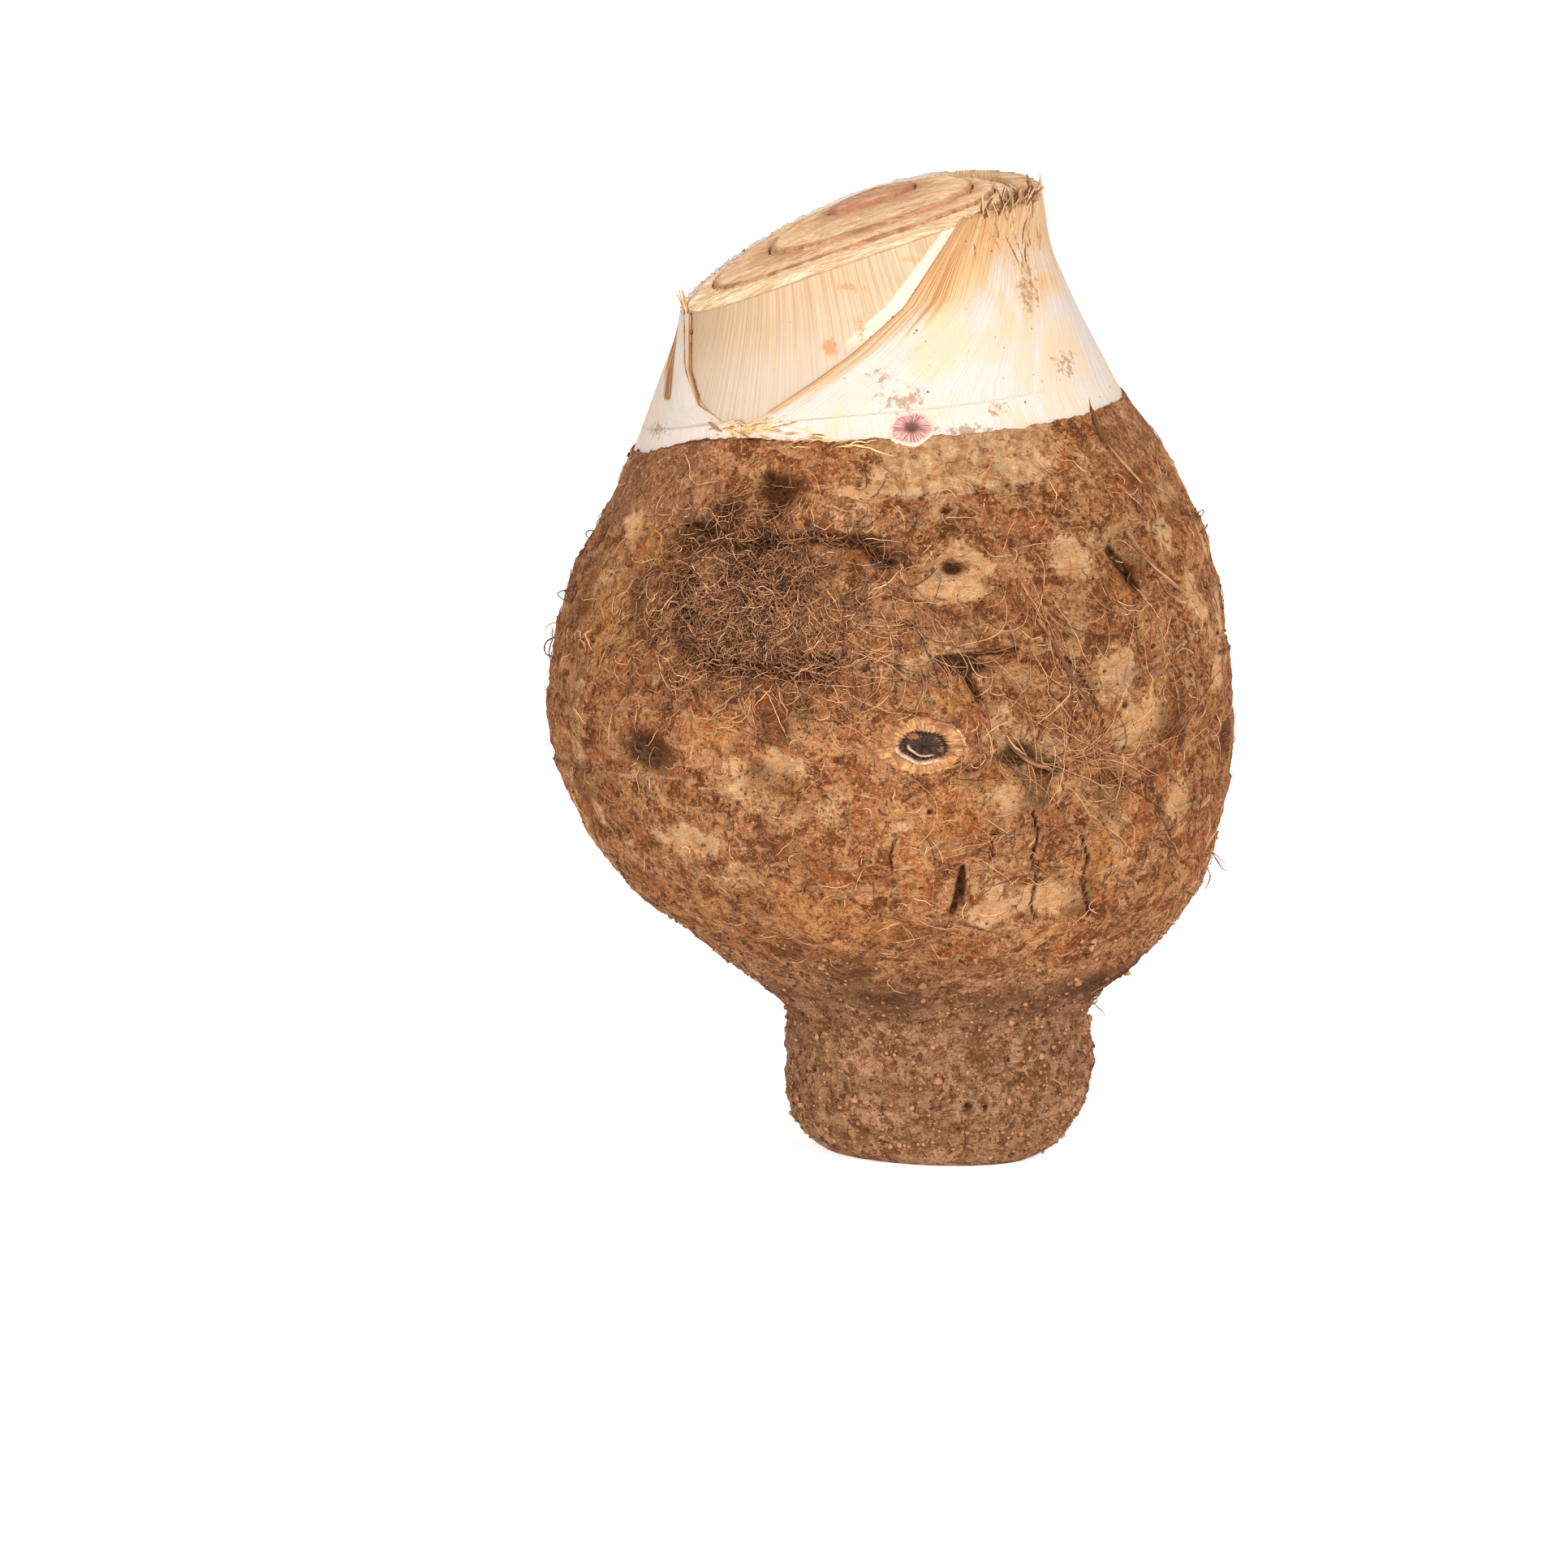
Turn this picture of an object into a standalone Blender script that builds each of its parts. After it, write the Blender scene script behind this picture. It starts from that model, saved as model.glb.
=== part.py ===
"""A whole taro root standing on its knob, with its leaf sheaths cut off at a slant.

Metres, +Z up, front towards -Y, origin under the middle of the root on the surface it stands on.
"""

import math

import bmesh
import bpy
import numpy as np
from mathutils import Vector
from mathutils.bvhtree import BVHTree

MM = 0.001
SEED = 11

# The outline of the root from base to crown, all in mm: height, leftmost x, rightmost x, half depth.
OUTLINE = (
    (0.0, -14.5, 27.5, 17.5),
    (1.9, -17.5, 31.5, 20.5),
    (5.4, -20.3, 35.2, 23.0),
    (9.0, -21.7, 37.6, 24.6),
    (14.0, -22.6, 40.2, 26.0),
    (22.0, -22.4, 41.0, 26.4),
    (29.5, -22.0, 40.4, 26.6),
    (34.0, -25.5, 42.4, 29.5),
    (40.0, -34.0, 49.0, 37.0),
    (50.0, -47.0, 57.8, 49.0),
    (57.0, -54.5, 62.7, 55.5),
    (71.0, -65.2, 67.4, 62.8),
    (84.0, -70.3, 69.0, 65.8),
    (97.0, -71.8, 69.4, 66.8),
    (110.0, -70.0, 68.2, 65.2),
    (125.0, -65.3, 64.8, 61.3),
    (139.0, -58.3, 59.4, 55.0),
    (149.0, -54.2, 54.4, 49.6),
    (158.0, -51.0, 47.6, 45.0),
    (169.0, -47.4, 41.6, 40.0),
    (180.0, -44.6, 36.2, 36.0),
    (192.0, -43.6, 31.4, 33.2),
    (207.0, -44.0, 29.0, 32.0),
)
BASE_SKEW = 6.0 * MM  # the foot reaches further to the front right and the back left
BASE_SKEW_HEIGHT = 30.0 * MM

# The skin line, where the brown skin stops.
SKIN_HEIGHT = 153.8 * MM
SKIN_LIFT = 2.4 * MM  # rise towards the right over SKIN_REACH
SKIN_CURL = 3.2 * MM  # more rise, only near the two sides
SKIN_REACH = 50.0 * MM
SKIN_INSET = 0.4 * MM  # the sheaths stand in from the edge of the skin

# The slanted cut over the leaf sheaths.
CUT_X = -6.9 * MM
CUT_HEIGHT = 194.2 * MM
CUT_SLOPE_X = 0.33
CUT_SLOPE_Y = 0.13
CUT_SAG = 3.3  # per metre
CUT_MAX = 203.4 * MM

GAP = 0.3 * MM

# Each nested leaf base: how far its outer face lies inside the outline at the front, right, back and left,
# and how far it stands above the cut, all in mm.
LAYERS = (
    ("outer_leaf_sheath", (0.0, 0.0, 0.0, 0.0), 0.0),
    ("second_leaf_sheath", (1.6, 6.0, 4.5, 1.8), 0.0),
    ("third_leaf_sheath", (14.5, 10.0, 5.8, 6.5), 0.6),
    ("fourth_leaf_sheath", (24.0, 14.5, 7.3, 17.5), 1.3),
    ("heart_leaf", (44.0, 26.5, 9.4, 29.5), 2.2),
)

# The open V at the front left of the outer sheath, where its two edges part: x and height in mm.
SHEATH_WINDOW = (
    (-43.4, 212.0),
    (-43.6, 176.0),
    (-43.2, 166.0),
    (-40.6, 159.4),
    (-36.0, 156.6),
    (-30.0, 156.4),
    (-25.0, 159.6),
    (-16.0, 165.2),
    (-7.6, 170.7),
    (4.2, 180.0),
    (13.6, 192.0),
    (20.0, 200.5),
    (24.0, 212.0),
)
WINDOW_FRONT = -80.0 * MM
WINDOW_BACK = -3.0 * MM

# Leaf scars around the body, each a low ledge in the skin.
SCAR_HEIGHTS = tuple(h * MM for h in (50.0, 62.0, 75.0, 89.0, 103.0, 117.0, 130.0, 142.0))
SCAR_LEDGE = 0.7 * MM
SCAR_WIDTH = 1.0 * MM
SCAR_TILT = 0.07

BUMP = 0.9 * MM
# Hollows and swellings of the body: angle in degrees, height, half width, half height and depth in mm.
HOLLOWS = (
    (243.0, 132.0, 14.0, 10.0, 2.6),
    (239.0, 113.0, 12.0, 8.0, 1.6),
    (275.0, 95.0, 12.0, 7.0, -1.0),
    (300.0, 66.0, 10.0, 12.0, 1.0),
    (70.0, 110.0, 16.0, 13.0, 1.6),
    (120.0, 84.0, 14.0, 12.0, -1.4),
    (30.0, 70.0, 12.0, 10.0, 1.2),
)

EYE = (5.4 * MM, 95.5 * MM)  # x and height of the dormant bud's hollow
EYE_RADII = (5.2 * MM, 3.0 * MM, 4.4 * MM)
NOTCH = (11.4 * MM, 130.4 * MM)
NOTCH_RADII = (3.6 * MM, 1.8 * MM, 2.6 * MM)

BUD = (2.8 * MM, 156.4 * MM)  # x and height of the pink bud on the skin line
BUD_RADII = (4.2 * MM, 3.0 * MM)
BUD_BULGE = 1.1 * MM

# Thick roots lying on the skin: radius in mm, then x and height in mm along each.
ROOTS = (
    ("root_upper", 0.9, ((38.4, 165.0), (39.0, 160.6), (40.2, 155.3), (43.6, 150.5), (48.6, 144.6))),
    ("root_side", 1.0, ((45.9, 135.0), (48.6, 131.4), (51.8, 127.6), (56.9, 122.6))),
    ("root_loop", 0.9, ((28.0, 119.4), (30.8, 115.4), (33.2, 111.2), (34.6, 108.4), (37.5, 103.6))),
    ("root_low", 1.1, ((21.8, 97.0), (23.6, 94.2), (26.8, 91.6), (30.2, 90.4))),
)
ROOT_SIDES = 6
ROOT_STEP = 1.6 * MM
ROOT_GAP = 0.35 * MM

CORM_SEGMENTS = 64
SHEATH_SEGMENTS = 48
SHEATH_SHARES = (0.0, 0.2, 0.45, 0.72, 1.0)


def scene_clear():
    for thing in list(bpy.data.objects):
        bpy.data.objects.remove(thing, do_unlink=True)


def material(name, colour, roughness):
    made = bpy.data.materials.new(name)
    made.use_nodes = True
    shader = made.node_tree.nodes["Principled BSDF"]
    shader.inputs["Base Color"].default_value = (*colour, 1.0)
    shader.inputs["Roughness"].default_value = roughness
    shader.inputs["Metallic"].default_value = 0.0
    return made


def smooth_at(at, stations, values):
    """A monotone cubic through the stations, with no overshoot between them."""
    x = np.asarray(stations, float)
    y = np.asarray(values, float)
    slope = np.diff(y) / np.diff(x)
    tangent = np.concatenate(([slope[0]], np.zeros(len(x) - 2), [slope[-1]]))
    same_way = slope[:-1] * slope[1:] > 0
    harmonic = 2.0 * slope[:-1] * slope[1:] / np.where(same_way, slope[:-1] + slope[1:], 1.0)
    tangent[1:-1] = np.where(same_way, harmonic, 0.0)
    at = np.clip(at, x[0], x[-1])
    i = int(np.clip(np.searchsorted(x, at) - 1, 0, len(x) - 2))
    width = x[i + 1] - x[i]
    t = (at - x[i]) / width
    rise = y[i] * (1 + 2 * t) * (1 - t) ** 2 + y[i + 1] * t * t * (3 - 2 * t)
    return rise + width * (tangent[i] * t * (1 - t) ** 2 - tangent[i + 1] * t * t * (1 - t))


def outline_at(z):
    """The left, right and half depth of the root at a height, in metres."""
    heights, left, right, depth = np.array(OUTLINE).T * MM
    return tuple(float(smooth_at(z, heights, side)) for side in (left, right, depth))


def section_point(angle, z, inset=(0.0, 0.0, 0.0, 0.0)):
    """The point of the root's section at an angle and height, drawn in at the front, right, back and left."""
    left, right, depth = outline_at(z)
    front_in, right_in, back_in, left_in = inset
    left += left_in
    right -= right_in
    front = -depth + front_in
    back = depth - back_in
    skew = BASE_SKEW * max(0.0, 1.0 - z / BASE_SKEW_HEIGHT)
    x = 0.5 * (left + right) + 0.5 * (right - left) * math.cos(angle) - skew * math.sin(angle)
    y = 0.5 * (front + back) + 0.5 * (back - front) * math.sin(angle)
    return x, y


def skin_line(x):
    """The height of the skin line, which is also the top of the corm, at an x."""
    across = x / SKIN_REACH
    return SKIN_HEIGHT + SKIN_LIFT * across + SKIN_CURL * across**3


def cut_height(x, y):
    """The height of the slanted cut over a point."""
    across = x - CUT_X
    plane = CUT_HEIGHT + CUT_SLOPE_X * across + CUT_SLOPE_Y * y - CUT_SAG * across**2
    return min(plane, CUT_MAX + 0.2 * (plane - CUT_MAX))


def scar_ledge(z):
    """The skin swells slowly up to each leaf scar and steps back at it."""
    if z <= SCAR_HEIGHTS[0]:
        return 0.0
    last = max(h for h in SCAR_HEIGHTS if h < z)
    above = [h for h in SCAR_HEIGHTS if h >= z]
    following = above[0] if above else SKIN_HEIGHT
    rising = min((z - last) / (following - last), 1.0)
    fading = min((z - last) / SCAR_WIDTH, 1.0)
    return SCAR_LEDGE * (rising if fading >= 1.0 else 1.0 - fading)


def bumpiness():
    """Slow random swells over angle and height, as a function."""
    rng = np.random.default_rng(SEED)
    waves = [
        (int(turns), rng.uniform(20.0, 60.0), rng.uniform(0.0, math.tau), rng.uniform(0.5, 1.0))
        for turns in (2, 3, 3, 4, 5, 7)
    ]

    def swell(angle, z):
        return BUMP * sum(
            size * math.sin(turns * angle + per_metre * z + phase) for turns, per_metre, phase, size in waves
        ) / len(waves)

    return swell


def hollow_depth(angle, z):
    """How far the skin is drawn in at a point by the body's hollows."""
    left, right, depth = outline_at(z)
    radius = 0.5 * (0.5 * (right - left) + depth)
    total = 0.0
    for turn, height, half_width, half_height, deep in HOLLOWS:
        away = (angle - math.radians(turn) + math.pi) % math.tau - math.pi
        across = away * radius / (half_width * MM)
        up = (z - height * MM) / (half_height * MM)
        total += deep * MM * math.exp(-across * across - up * up)
    return total


def corm_rows():
    """The heights of the corm's rings: close together at the foot and at each scar."""
    foot = [0.0, 1.0, 2.6, 5.4, 9.0, 14.0, 20.0, 26.0, 31.0, 35.0, 39.0, 43.5]
    rows = [h * MM for h in foot]
    for scar, following in zip(SCAR_HEIGHTS, (*SCAR_HEIGHTS[1:], SKIN_HEIGHT)):
        gap = following - scar
        rows += [scar - 0.2 * MM, scar + SCAR_WIDTH, scar + 0.38 * gap, scar + 0.7 * gap]
    return [*rows, SKIN_HEIGHT]


def corm_ring(row, swell):
    """One ring of the corm. The rings tilt more and more towards the skin line."""
    lift = min(max((row - SCAR_HEIGHTS[0]) / (SCAR_HEIGHTS[1] - SCAR_HEIGHTS[0]), 0.0), 1.0)
    near_top = min(max((row - SCAR_HEIGHTS[-2]) / (SKIN_HEIGHT - SCAR_HEIGHTS[-2]), 0.0), 1.0)
    calm = min(row / (20.0 * MM), 1.0) * (1.0 - 0.7 * near_top)
    ring = []
    for i in range(CORM_SEGMENTS):
        angle = math.tau * i / CORM_SEGMENTS
        z = row
        for _ in range(3):
            x, _y = section_point(angle, z)
            tilt = lift * SCAR_TILT * x
            z = row + (1.0 - near_top) * tilt + near_top * (skin_line(x) - SKIN_HEIGHT)
        x, y = section_point(angle, z)
        away = Vector((x, y)).normalized()
        out = calm * swell(angle, z) - hollow_depth(angle, z) * calm + scar_ledge(row) * (1.0 - near_top)
        ring.append((x + away.x * out, y + away.y * out, z))
    return ring


def joined(name, rings, tube, made_of):
    """One closed body from equal rings: a tube closes on its first ring, anything else gets a fan at both ends."""
    mesh = bmesh.new()
    loops = [[mesh.verts.new(p) for p in ring] for ring in rings]
    pairs = list(zip(loops, loops[1:]))
    if tube:
        pairs.append((loops[-1], loops[0]))
    for low, high in pairs:
        for i in range(len(low)):
            j = (i + 1) % len(low)
            mesh.faces.new((low[i], low[j], high[j], high[i]))
    if not tube:
        for loop in (loops[0], loops[-1]):
            middle = mesh.verts.new(sum((v.co for v in loop), Vector()) / len(loop))
            for i in range(len(loop)):
                mesh.faces.new((loop[i], loop[(i + 1) % len(loop)], middle))
    bmesh.ops.recalc_face_normals(mesh, faces=mesh.faces)
    data = bpy.data.meshes.new(name)
    mesh.to_mesh(data)
    mesh.free()
    data.materials.append(made_of)
    data.shade_smooth()
    data.set_sharp_from_angle(angle=math.radians(50.0))
    thing = bpy.data.objects.new(name, data)
    bpy.context.scene.collection.objects.link(thing)
    return thing


def cut_out(body, cutter):
    """Takes a hidden cutter's shape out of a body."""
    cutter.hide_render = True
    cutter.display_type = "WIRE"
    cut = body.modifiers.new(cutter.name, "BOOLEAN")
    cut.operation = "DIFFERENCE"
    cut.solver = "EXACT"
    cut.object = cutter


def hollow_out(body, name, place, radii):
    """Cuts an oval hollow into the front of a body."""
    ball = bmesh.new()
    bmesh.ops.create_icosphere(ball, subdivisions=2, radius=1.0)
    data = bpy.data.meshes.new(name)
    ball.to_mesh(data)
    ball.free()
    cutter = bpy.data.objects.new(name, data)
    cutter.location = front_point(body_tree([body]), *place)
    cutter.scale = radii
    bpy.context.scene.collection.objects.link(cutter)
    cut_out(body, cutter)


def body_tree(things):
    """A search tree over the faces of several bodies as built."""
    points = []
    faces = []
    for thing in things:
        first = len(points)
        points += [v.co.copy() for v in thing.data.vertices]
        faces += [[first + i for i in face.vertices] for face in thing.data.polygons]
    return BVHTree.FromPolygons(points, faces)


def front_point(tree, x, z):
    """The frontmost point of the root at an x and height, taken from just below where it looks into a gap."""
    for lower in (0.0, 2.0 * GAP, 4.0 * GAP):
        place = tree.ray_cast(Vector((x, -2.0 * SKIN_REACH, z - lower)), Vector((0.0, 1.0, 0.0)))[0]
        if place is not None and place.y < 0.0:
            break
    return Vector((x, place.y, z))


def corm():
    """The swollen stem with its skin: knob, body and a flat top under the leaf bases."""
    swell = bumpiness()
    rings = [corm_ring(row, swell) for row in corm_rows()]
    edge = rings[-1]
    middle = sum(x for x, _y, _z in edge) / len(edge)
    for share in (0.66, 0.33):
        inner = [(middle + (x - middle) * share, y * share) for x, y, _z in edge]
        rings.append([(x, y, skin_line(x)) for x, y in inner])
    brown = material("corm_skin", (0.19, 0.095, 0.045), 0.85)
    body = joined("corm", rings, False, brown)
    hollow_out(body, "eye_hollow", EYE, EYE_RADII)
    hollow_out(body, "notch_hollow", NOTCH, NOTCH_RADII)
    return body


def wall_point(angle, share, inset, raised):
    """A point on a leaf base's wall, a share of the way from the corm's top up to the cut."""
    z = 0.5 * (SKIN_HEIGHT + CUT_HEIGHT)
    for _ in range(8):
        x, y = section_point(angle, z, inset)
        low = skin_line(x) + GAP
        z = low + share * (cut_height(x, y) + raised - low)
    x, y = section_point(angle, z, inset)
    return x, y, z


def wall_rings(inset, raised, shares):
    """Rings of a leaf base's wall at each share of its height."""
    angles = [math.tau * i / SHEATH_SEGMENTS for i in range(SHEATH_SEGMENTS)]
    return [[wall_point(angle, share, inset, raised) for angle in angles] for share in shares]


def in_metres(inset, extra=0.0):
    return tuple(side * MM + extra for side in inset)


def leaf_sheath(order, made_of):
    """A leaf base around the next one in, cut at the top. The outermost stands in from the skin's edge."""
    name, inset, raised = LAYERS[order]
    under = in_metres(LAYERS[order + 1][1], -GAP)
    outside = wall_rings(in_metres(inset, 0.0 if order else SKIN_INSET), raised * MM, SHEATH_SHARES)
    inside = wall_rings(under, raised * MM, SHEATH_SHARES[::-1])
    return joined(name, outside + inside, True, made_of)


def outer_sheath():
    """The outermost leaf base, open in a V at the front left where its two edges part."""
    sheath = leaf_sheath(0, material("sheath_outer_cream", (0.86, 0.74, 0.52), 0.55))
    window = bmesh.new()
    corners = [window.verts.new((x * MM, WINDOW_FRONT, z * MM)) for x, z in SHEATH_WINDOW]
    face = window.faces.new(corners)
    pushed = bmesh.ops.extrude_face_region(window, geom=[face])["geom"]
    moved = [v for v in pushed if isinstance(v, bmesh.types.BMVert)]
    bmesh.ops.translate(window, verts=moved, vec=(0.0, WINDOW_BACK - WINDOW_FRONT, 0.0))
    bmesh.ops.recalc_face_normals(window, faces=window.faces)
    data = bpy.data.meshes.new("sheath_window")
    window.to_mesh(data)
    window.free()
    cutter = bpy.data.objects.new("sheath_window", data)
    bpy.context.scene.collection.objects.link(cutter)
    cut_out(sheath, cutter)
    return sheath


def heart_leaf():
    """The innermost leaf, still rolled, cut through with the rest."""
    name, inset, raised = LAYERS[-1]
    rings = wall_rings(in_metres(inset), raised * MM, SHEATH_SHARES)
    return joined(name, rings, False, material("heart_leaf_reddish", (0.46, 0.25, 0.14), 0.6))


def axillary_bud(tree):
    """A flat oval bud lying on the outer sheath at the skin line."""
    x, z = BUD
    across, up = BUD_RADII
    rings = []
    for share, out in ((1.0, 0.0), (1.0, 0.3), (0.8, 0.75), (0.45, 1.0)):
        ring = []
        for i in range(16):
            angle = math.tau * i / 16
            place = front_point(tree, x + across * share * math.cos(angle), z + up * share * math.sin(angle))
            ring.append((place.x, place.y - 1.3 * GAP - BUD_BULGE * out, place.z))
        rings.append(ring)
    return joined("axillary_bud", rings, False, material("bud_pink", (0.62, 0.34, 0.30), 0.5))


def along(places):
    """Evenly spaced points of a smooth path through a root's places, as x and height."""
    x, z = (np.array(side) * MM for side in zip(*places))
    reach = np.concatenate(([0.0], np.cumsum(np.hypot(np.diff(x), np.diff(z)))))
    steps = max(4, round(reach[-1] / ROOT_STEP))
    stops = np.linspace(0.0, reach[-1], steps)
    return [(float(smooth_at(stop, reach, x)), float(smooth_at(stop, reach, z))) for stop in stops]


def root(name, radius, places, tree, made_of):
    """A thick root lying along the skin, thinner towards both ends."""
    radius *= MM
    spine = []
    for x, z in along(places):
        place = front_point(tree, x, z)
        near, normal, _index, _distance = tree.find_nearest(place)
        spine.append(near + normal * (radius + ROOT_GAP))
    rings = []
    for i, centre in enumerate(spine):
        ahead = (spine[min(i + 1, len(spine) - 1)] - spine[max(i - 1, 0)]).normalized()
        side = ahead.cross(Vector((0.0, 1.0, 0.0))).normalized()
        up = side.cross(ahead).normalized()
        thick = radius * (1.0 - 0.45 * abs(2.0 * i / (len(spine) - 1) - 1.0) ** 3)
        turns = [math.tau * k / ROOT_SIDES for k in range(ROOT_SIDES)]
        rings.append([tuple(centre + thick * (side * math.cos(t) + up * math.sin(t))) for t in turns])
    return joined(name, rings, False, made_of)


def centre_over_ground(body):
    """Moves everything so that the widest body's middle stands over the origin."""
    corners = [Vector(corner) for corner in body.bound_box]
    low = Vector(min(corner[axis] for corner in corners) for axis in range(3))
    high = Vector(max(corner[axis] for corner in corners) for axis in range(3))
    middle = 0.5 * (low + high)
    for thing in bpy.data.objects:
        thing.location -= Vector((middle.x, middle.y, low.z))


def build():
    scene_clear()
    body = corm()
    outer = outer_sheath()
    leaf_sheath(1, material("second_leaf_flesh", (0.80, 0.72, 0.58), 0.5))
    leaf_sheath(2, material("third_leaf_flesh", (0.84, 0.68, 0.44), 0.6))
    leaf_sheath(3, material("fourth_leaf_flesh", (0.80, 0.62, 0.38), 0.6))
    heart_leaf()
    tree = body_tree([body, outer])
    axillary_bud(tree)
    dark = material("root_dark", (0.10, 0.055, 0.03), 0.85)
    for name, radius, places in ROOTS:
        root(name, radius, places, tree, dark.copy())
    centre_over_ground(body)


build()
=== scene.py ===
"""Looks for the taro root: rough ringed skin, root hairs, cut leaf bases, floor, lights and camera.

Lengths in the tables are in millimetres; everything built is in metres, in the frame of the CAD.
"""

import math

import bpy
import numpy as np
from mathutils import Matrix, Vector
from mathutils.bvhtree import BVHTree


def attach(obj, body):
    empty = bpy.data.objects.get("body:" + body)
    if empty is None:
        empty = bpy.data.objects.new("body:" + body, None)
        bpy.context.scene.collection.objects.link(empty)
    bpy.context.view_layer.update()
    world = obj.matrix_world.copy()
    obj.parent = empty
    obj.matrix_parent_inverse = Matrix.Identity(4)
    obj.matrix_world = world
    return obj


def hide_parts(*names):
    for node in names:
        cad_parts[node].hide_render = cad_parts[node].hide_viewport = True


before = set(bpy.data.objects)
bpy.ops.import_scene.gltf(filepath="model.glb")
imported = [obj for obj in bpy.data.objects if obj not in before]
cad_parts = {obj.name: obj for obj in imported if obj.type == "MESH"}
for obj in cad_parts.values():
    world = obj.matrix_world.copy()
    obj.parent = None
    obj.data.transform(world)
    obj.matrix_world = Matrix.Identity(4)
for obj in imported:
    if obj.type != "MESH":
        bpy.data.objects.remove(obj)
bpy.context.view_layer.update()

MM = 0.001
TURN = math.tau

# ---------------------------------------------------------------- the form, as in the CAD

OUTLINE = np.array((  # height, left, right and half depth
    (0, -14.5, 27.5, 17.5), (1.9, -17.5, 31.5, 20.5), (5.4, -20.3, 35.2, 23), (9, -21.7, 37.6, 24.6),
    (14, -22.6, 40.2, 26), (22, -22.4, 41, 26.4), (29.5, -22, 40.4, 26.6), (34, -25.5, 42.4, 29.5),
    (40, -34, 49, 37), (50, -47, 57.8, 49), (57, -54.5, 62.7, 55.5), (71, -65.2, 67.4, 62.8),
    (84, -70.3, 69, 65.8), (97, -71.8, 69.4, 66.8), (110, -70, 68.2, 65.2), (125, -65.3, 64.8, 61.3),
    (139, -58.3, 59.4, 55), (149, -54.2, 54.4, 49.6), (158, -51, 47.6, 45), (169, -47.4, 41.6, 40),
    (180, -44.6, 36.2, 36), (192, -43.6, 31.4, 33.2), (207, -44, 29, 32),
))
AXIS = (1.17, -0.1)  # where the outline's own origin stands in the frame
FOOT_SKEW = 6.0
FOOT_SKEW_HEIGHT = 30.0
SKIN = {"height": 153.8, "lift": 2.4, "curl": 3.2, "reach": 50.0}
CUT = {"x": -6.9, "height": 194.2, "slope_x": 0.33, "slope_y": 0.13, "sag": 0.0033, "most": 203.4}
# How far each leaf base lies inside the outline at the front, right, back and left, and its rise over the cut
LAYERS = {
    "outer_leaf_sheath": ((0.0, 0.0, 0.0, 0.0), 0.0),
    "second_leaf_sheath": ((1.6, 6.0, 4.5, 1.8), 0.0),
    "third_leaf_sheath": ((14.5, 10.0, 5.8, 6.5), 0.6),
    "fourth_leaf_sheath": ((24.0, 14.5, 7.3, 17.5), 1.3),
    "heart_leaf": ((44.0, 26.5, 9.4, 29.5), 2.2),
}
LAYER_NAMES = tuple(LAYERS)
RIM_WIDTHS = (0.1, 0.04, 0.14, 0.1, 0.12)  # how wide each leaf base's browned edge is on the cut
# The V between the outer leaf base's edges: height and x of each side.
WINDOW_LEFT = np.array(((156, -31.5), (156.6, -36), (159.4, -40.6), (166, -43.2), (176, -43.6), (215, -43.4)))
WINDOW_RIGHT = np.array(((156, -31.5), (156.6, -29), (159.6, -25), (165.2, -16), (170.7, -7.6), (180, 4.2),
                         (192, 13.6), (200.5, 20), (215, 25)))
SCARS = (50.0, 62.0, 75.0, 89.0, 103.0, 117.0, 130.0, 142.0)
SCAR_TILT = 0.07
SCAR_LEDGE = 0.7


# ---------------------------------------------------------------- numbers: curves, sections and noise

def curve(stations, values):
    """A monotone cubic through the stations, as a function of an array."""
    x = np.asarray(stations, float)
    y = np.asarray(values, float)
    slope = np.diff(y) / np.diff(x)
    tangent = np.concatenate(([slope[0]], np.zeros(len(x) - 2), [slope[-1]]))
    same = slope[:-1] * slope[1:] > 0
    harmonic = 2.0 * slope[:-1] * slope[1:] / np.where(same, slope[:-1] + slope[1:], 1.0)
    tangent[1:-1] = np.where(same, harmonic, 0.0)

    def at(where):
        where = np.clip(where, x[0], x[-1])
        i = np.clip(np.searchsorted(x, where) - 1, 0, len(x) - 2)
        width = x[i + 1] - x[i]
        t = (where - x[i]) / width
        rise = y[i] * (1 + 2 * t) * (1 - t) ** 2 + y[i + 1] * t * t * (3 - 2 * t)
        return rise + width * (tangent[i] * t * (1 - t) ** 2 - tangent[i + 1] * t * t * (1 - t))

    return at


LEFT_AT, RIGHT_AT, DEPTH_AT = (curve(OUTLINE[:, 0], OUTLINE[:, side]) for side in (1, 2, 3))


def section(angle, z, inset=(0.0, 0.0, 0.0, 0.0)):
    """x and y, in mm, of the section at an angle and height, drawn in at the front, right, back and left."""
    left = LEFT_AT(z) + inset[3]
    right = RIGHT_AT(z) - inset[1]
    front = -DEPTH_AT(z) + inset[0]
    back = DEPTH_AT(z) - inset[2]
    skew = FOOT_SKEW * np.maximum(0.0, 1.0 - z / FOOT_SKEW_HEIGHT)
    x = 0.5 * (left + right) + 0.5 * (right - left) * np.cos(angle) - skew * np.sin(angle)
    y = 0.5 * (front + back) + 0.5 * (back - front) * np.sin(angle)
    return x, y


def skin_line(x):
    """The height of the skin's top edge."""
    across = x / SKIN["reach"]
    return SKIN["height"] + SKIN["lift"] * across + SKIN["curl"] * across**3


def cut_height(x, y):
    """The height of the slanted cut."""
    across = x - CUT["x"]
    plane = CUT["height"] + CUT["slope_x"] * across + CUT["slope_y"] * y - CUT["sag"] * across**2
    return np.minimum(plane, CUT["most"] + 0.2 * (plane - CUT["most"]))


def in_frame(x, y, z):
    """Points in the frame, still in mm, from the outline's own x and y."""
    return np.stack((x + AXIS[0], y + AXIS[1], z), axis=-1)


def unit(vectors, least=1e-12):
    """Vectors at length 1."""
    return vectors / np.maximum(np.linalg.norm(vectors, axis=-1, keepdims=True), least)


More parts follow.
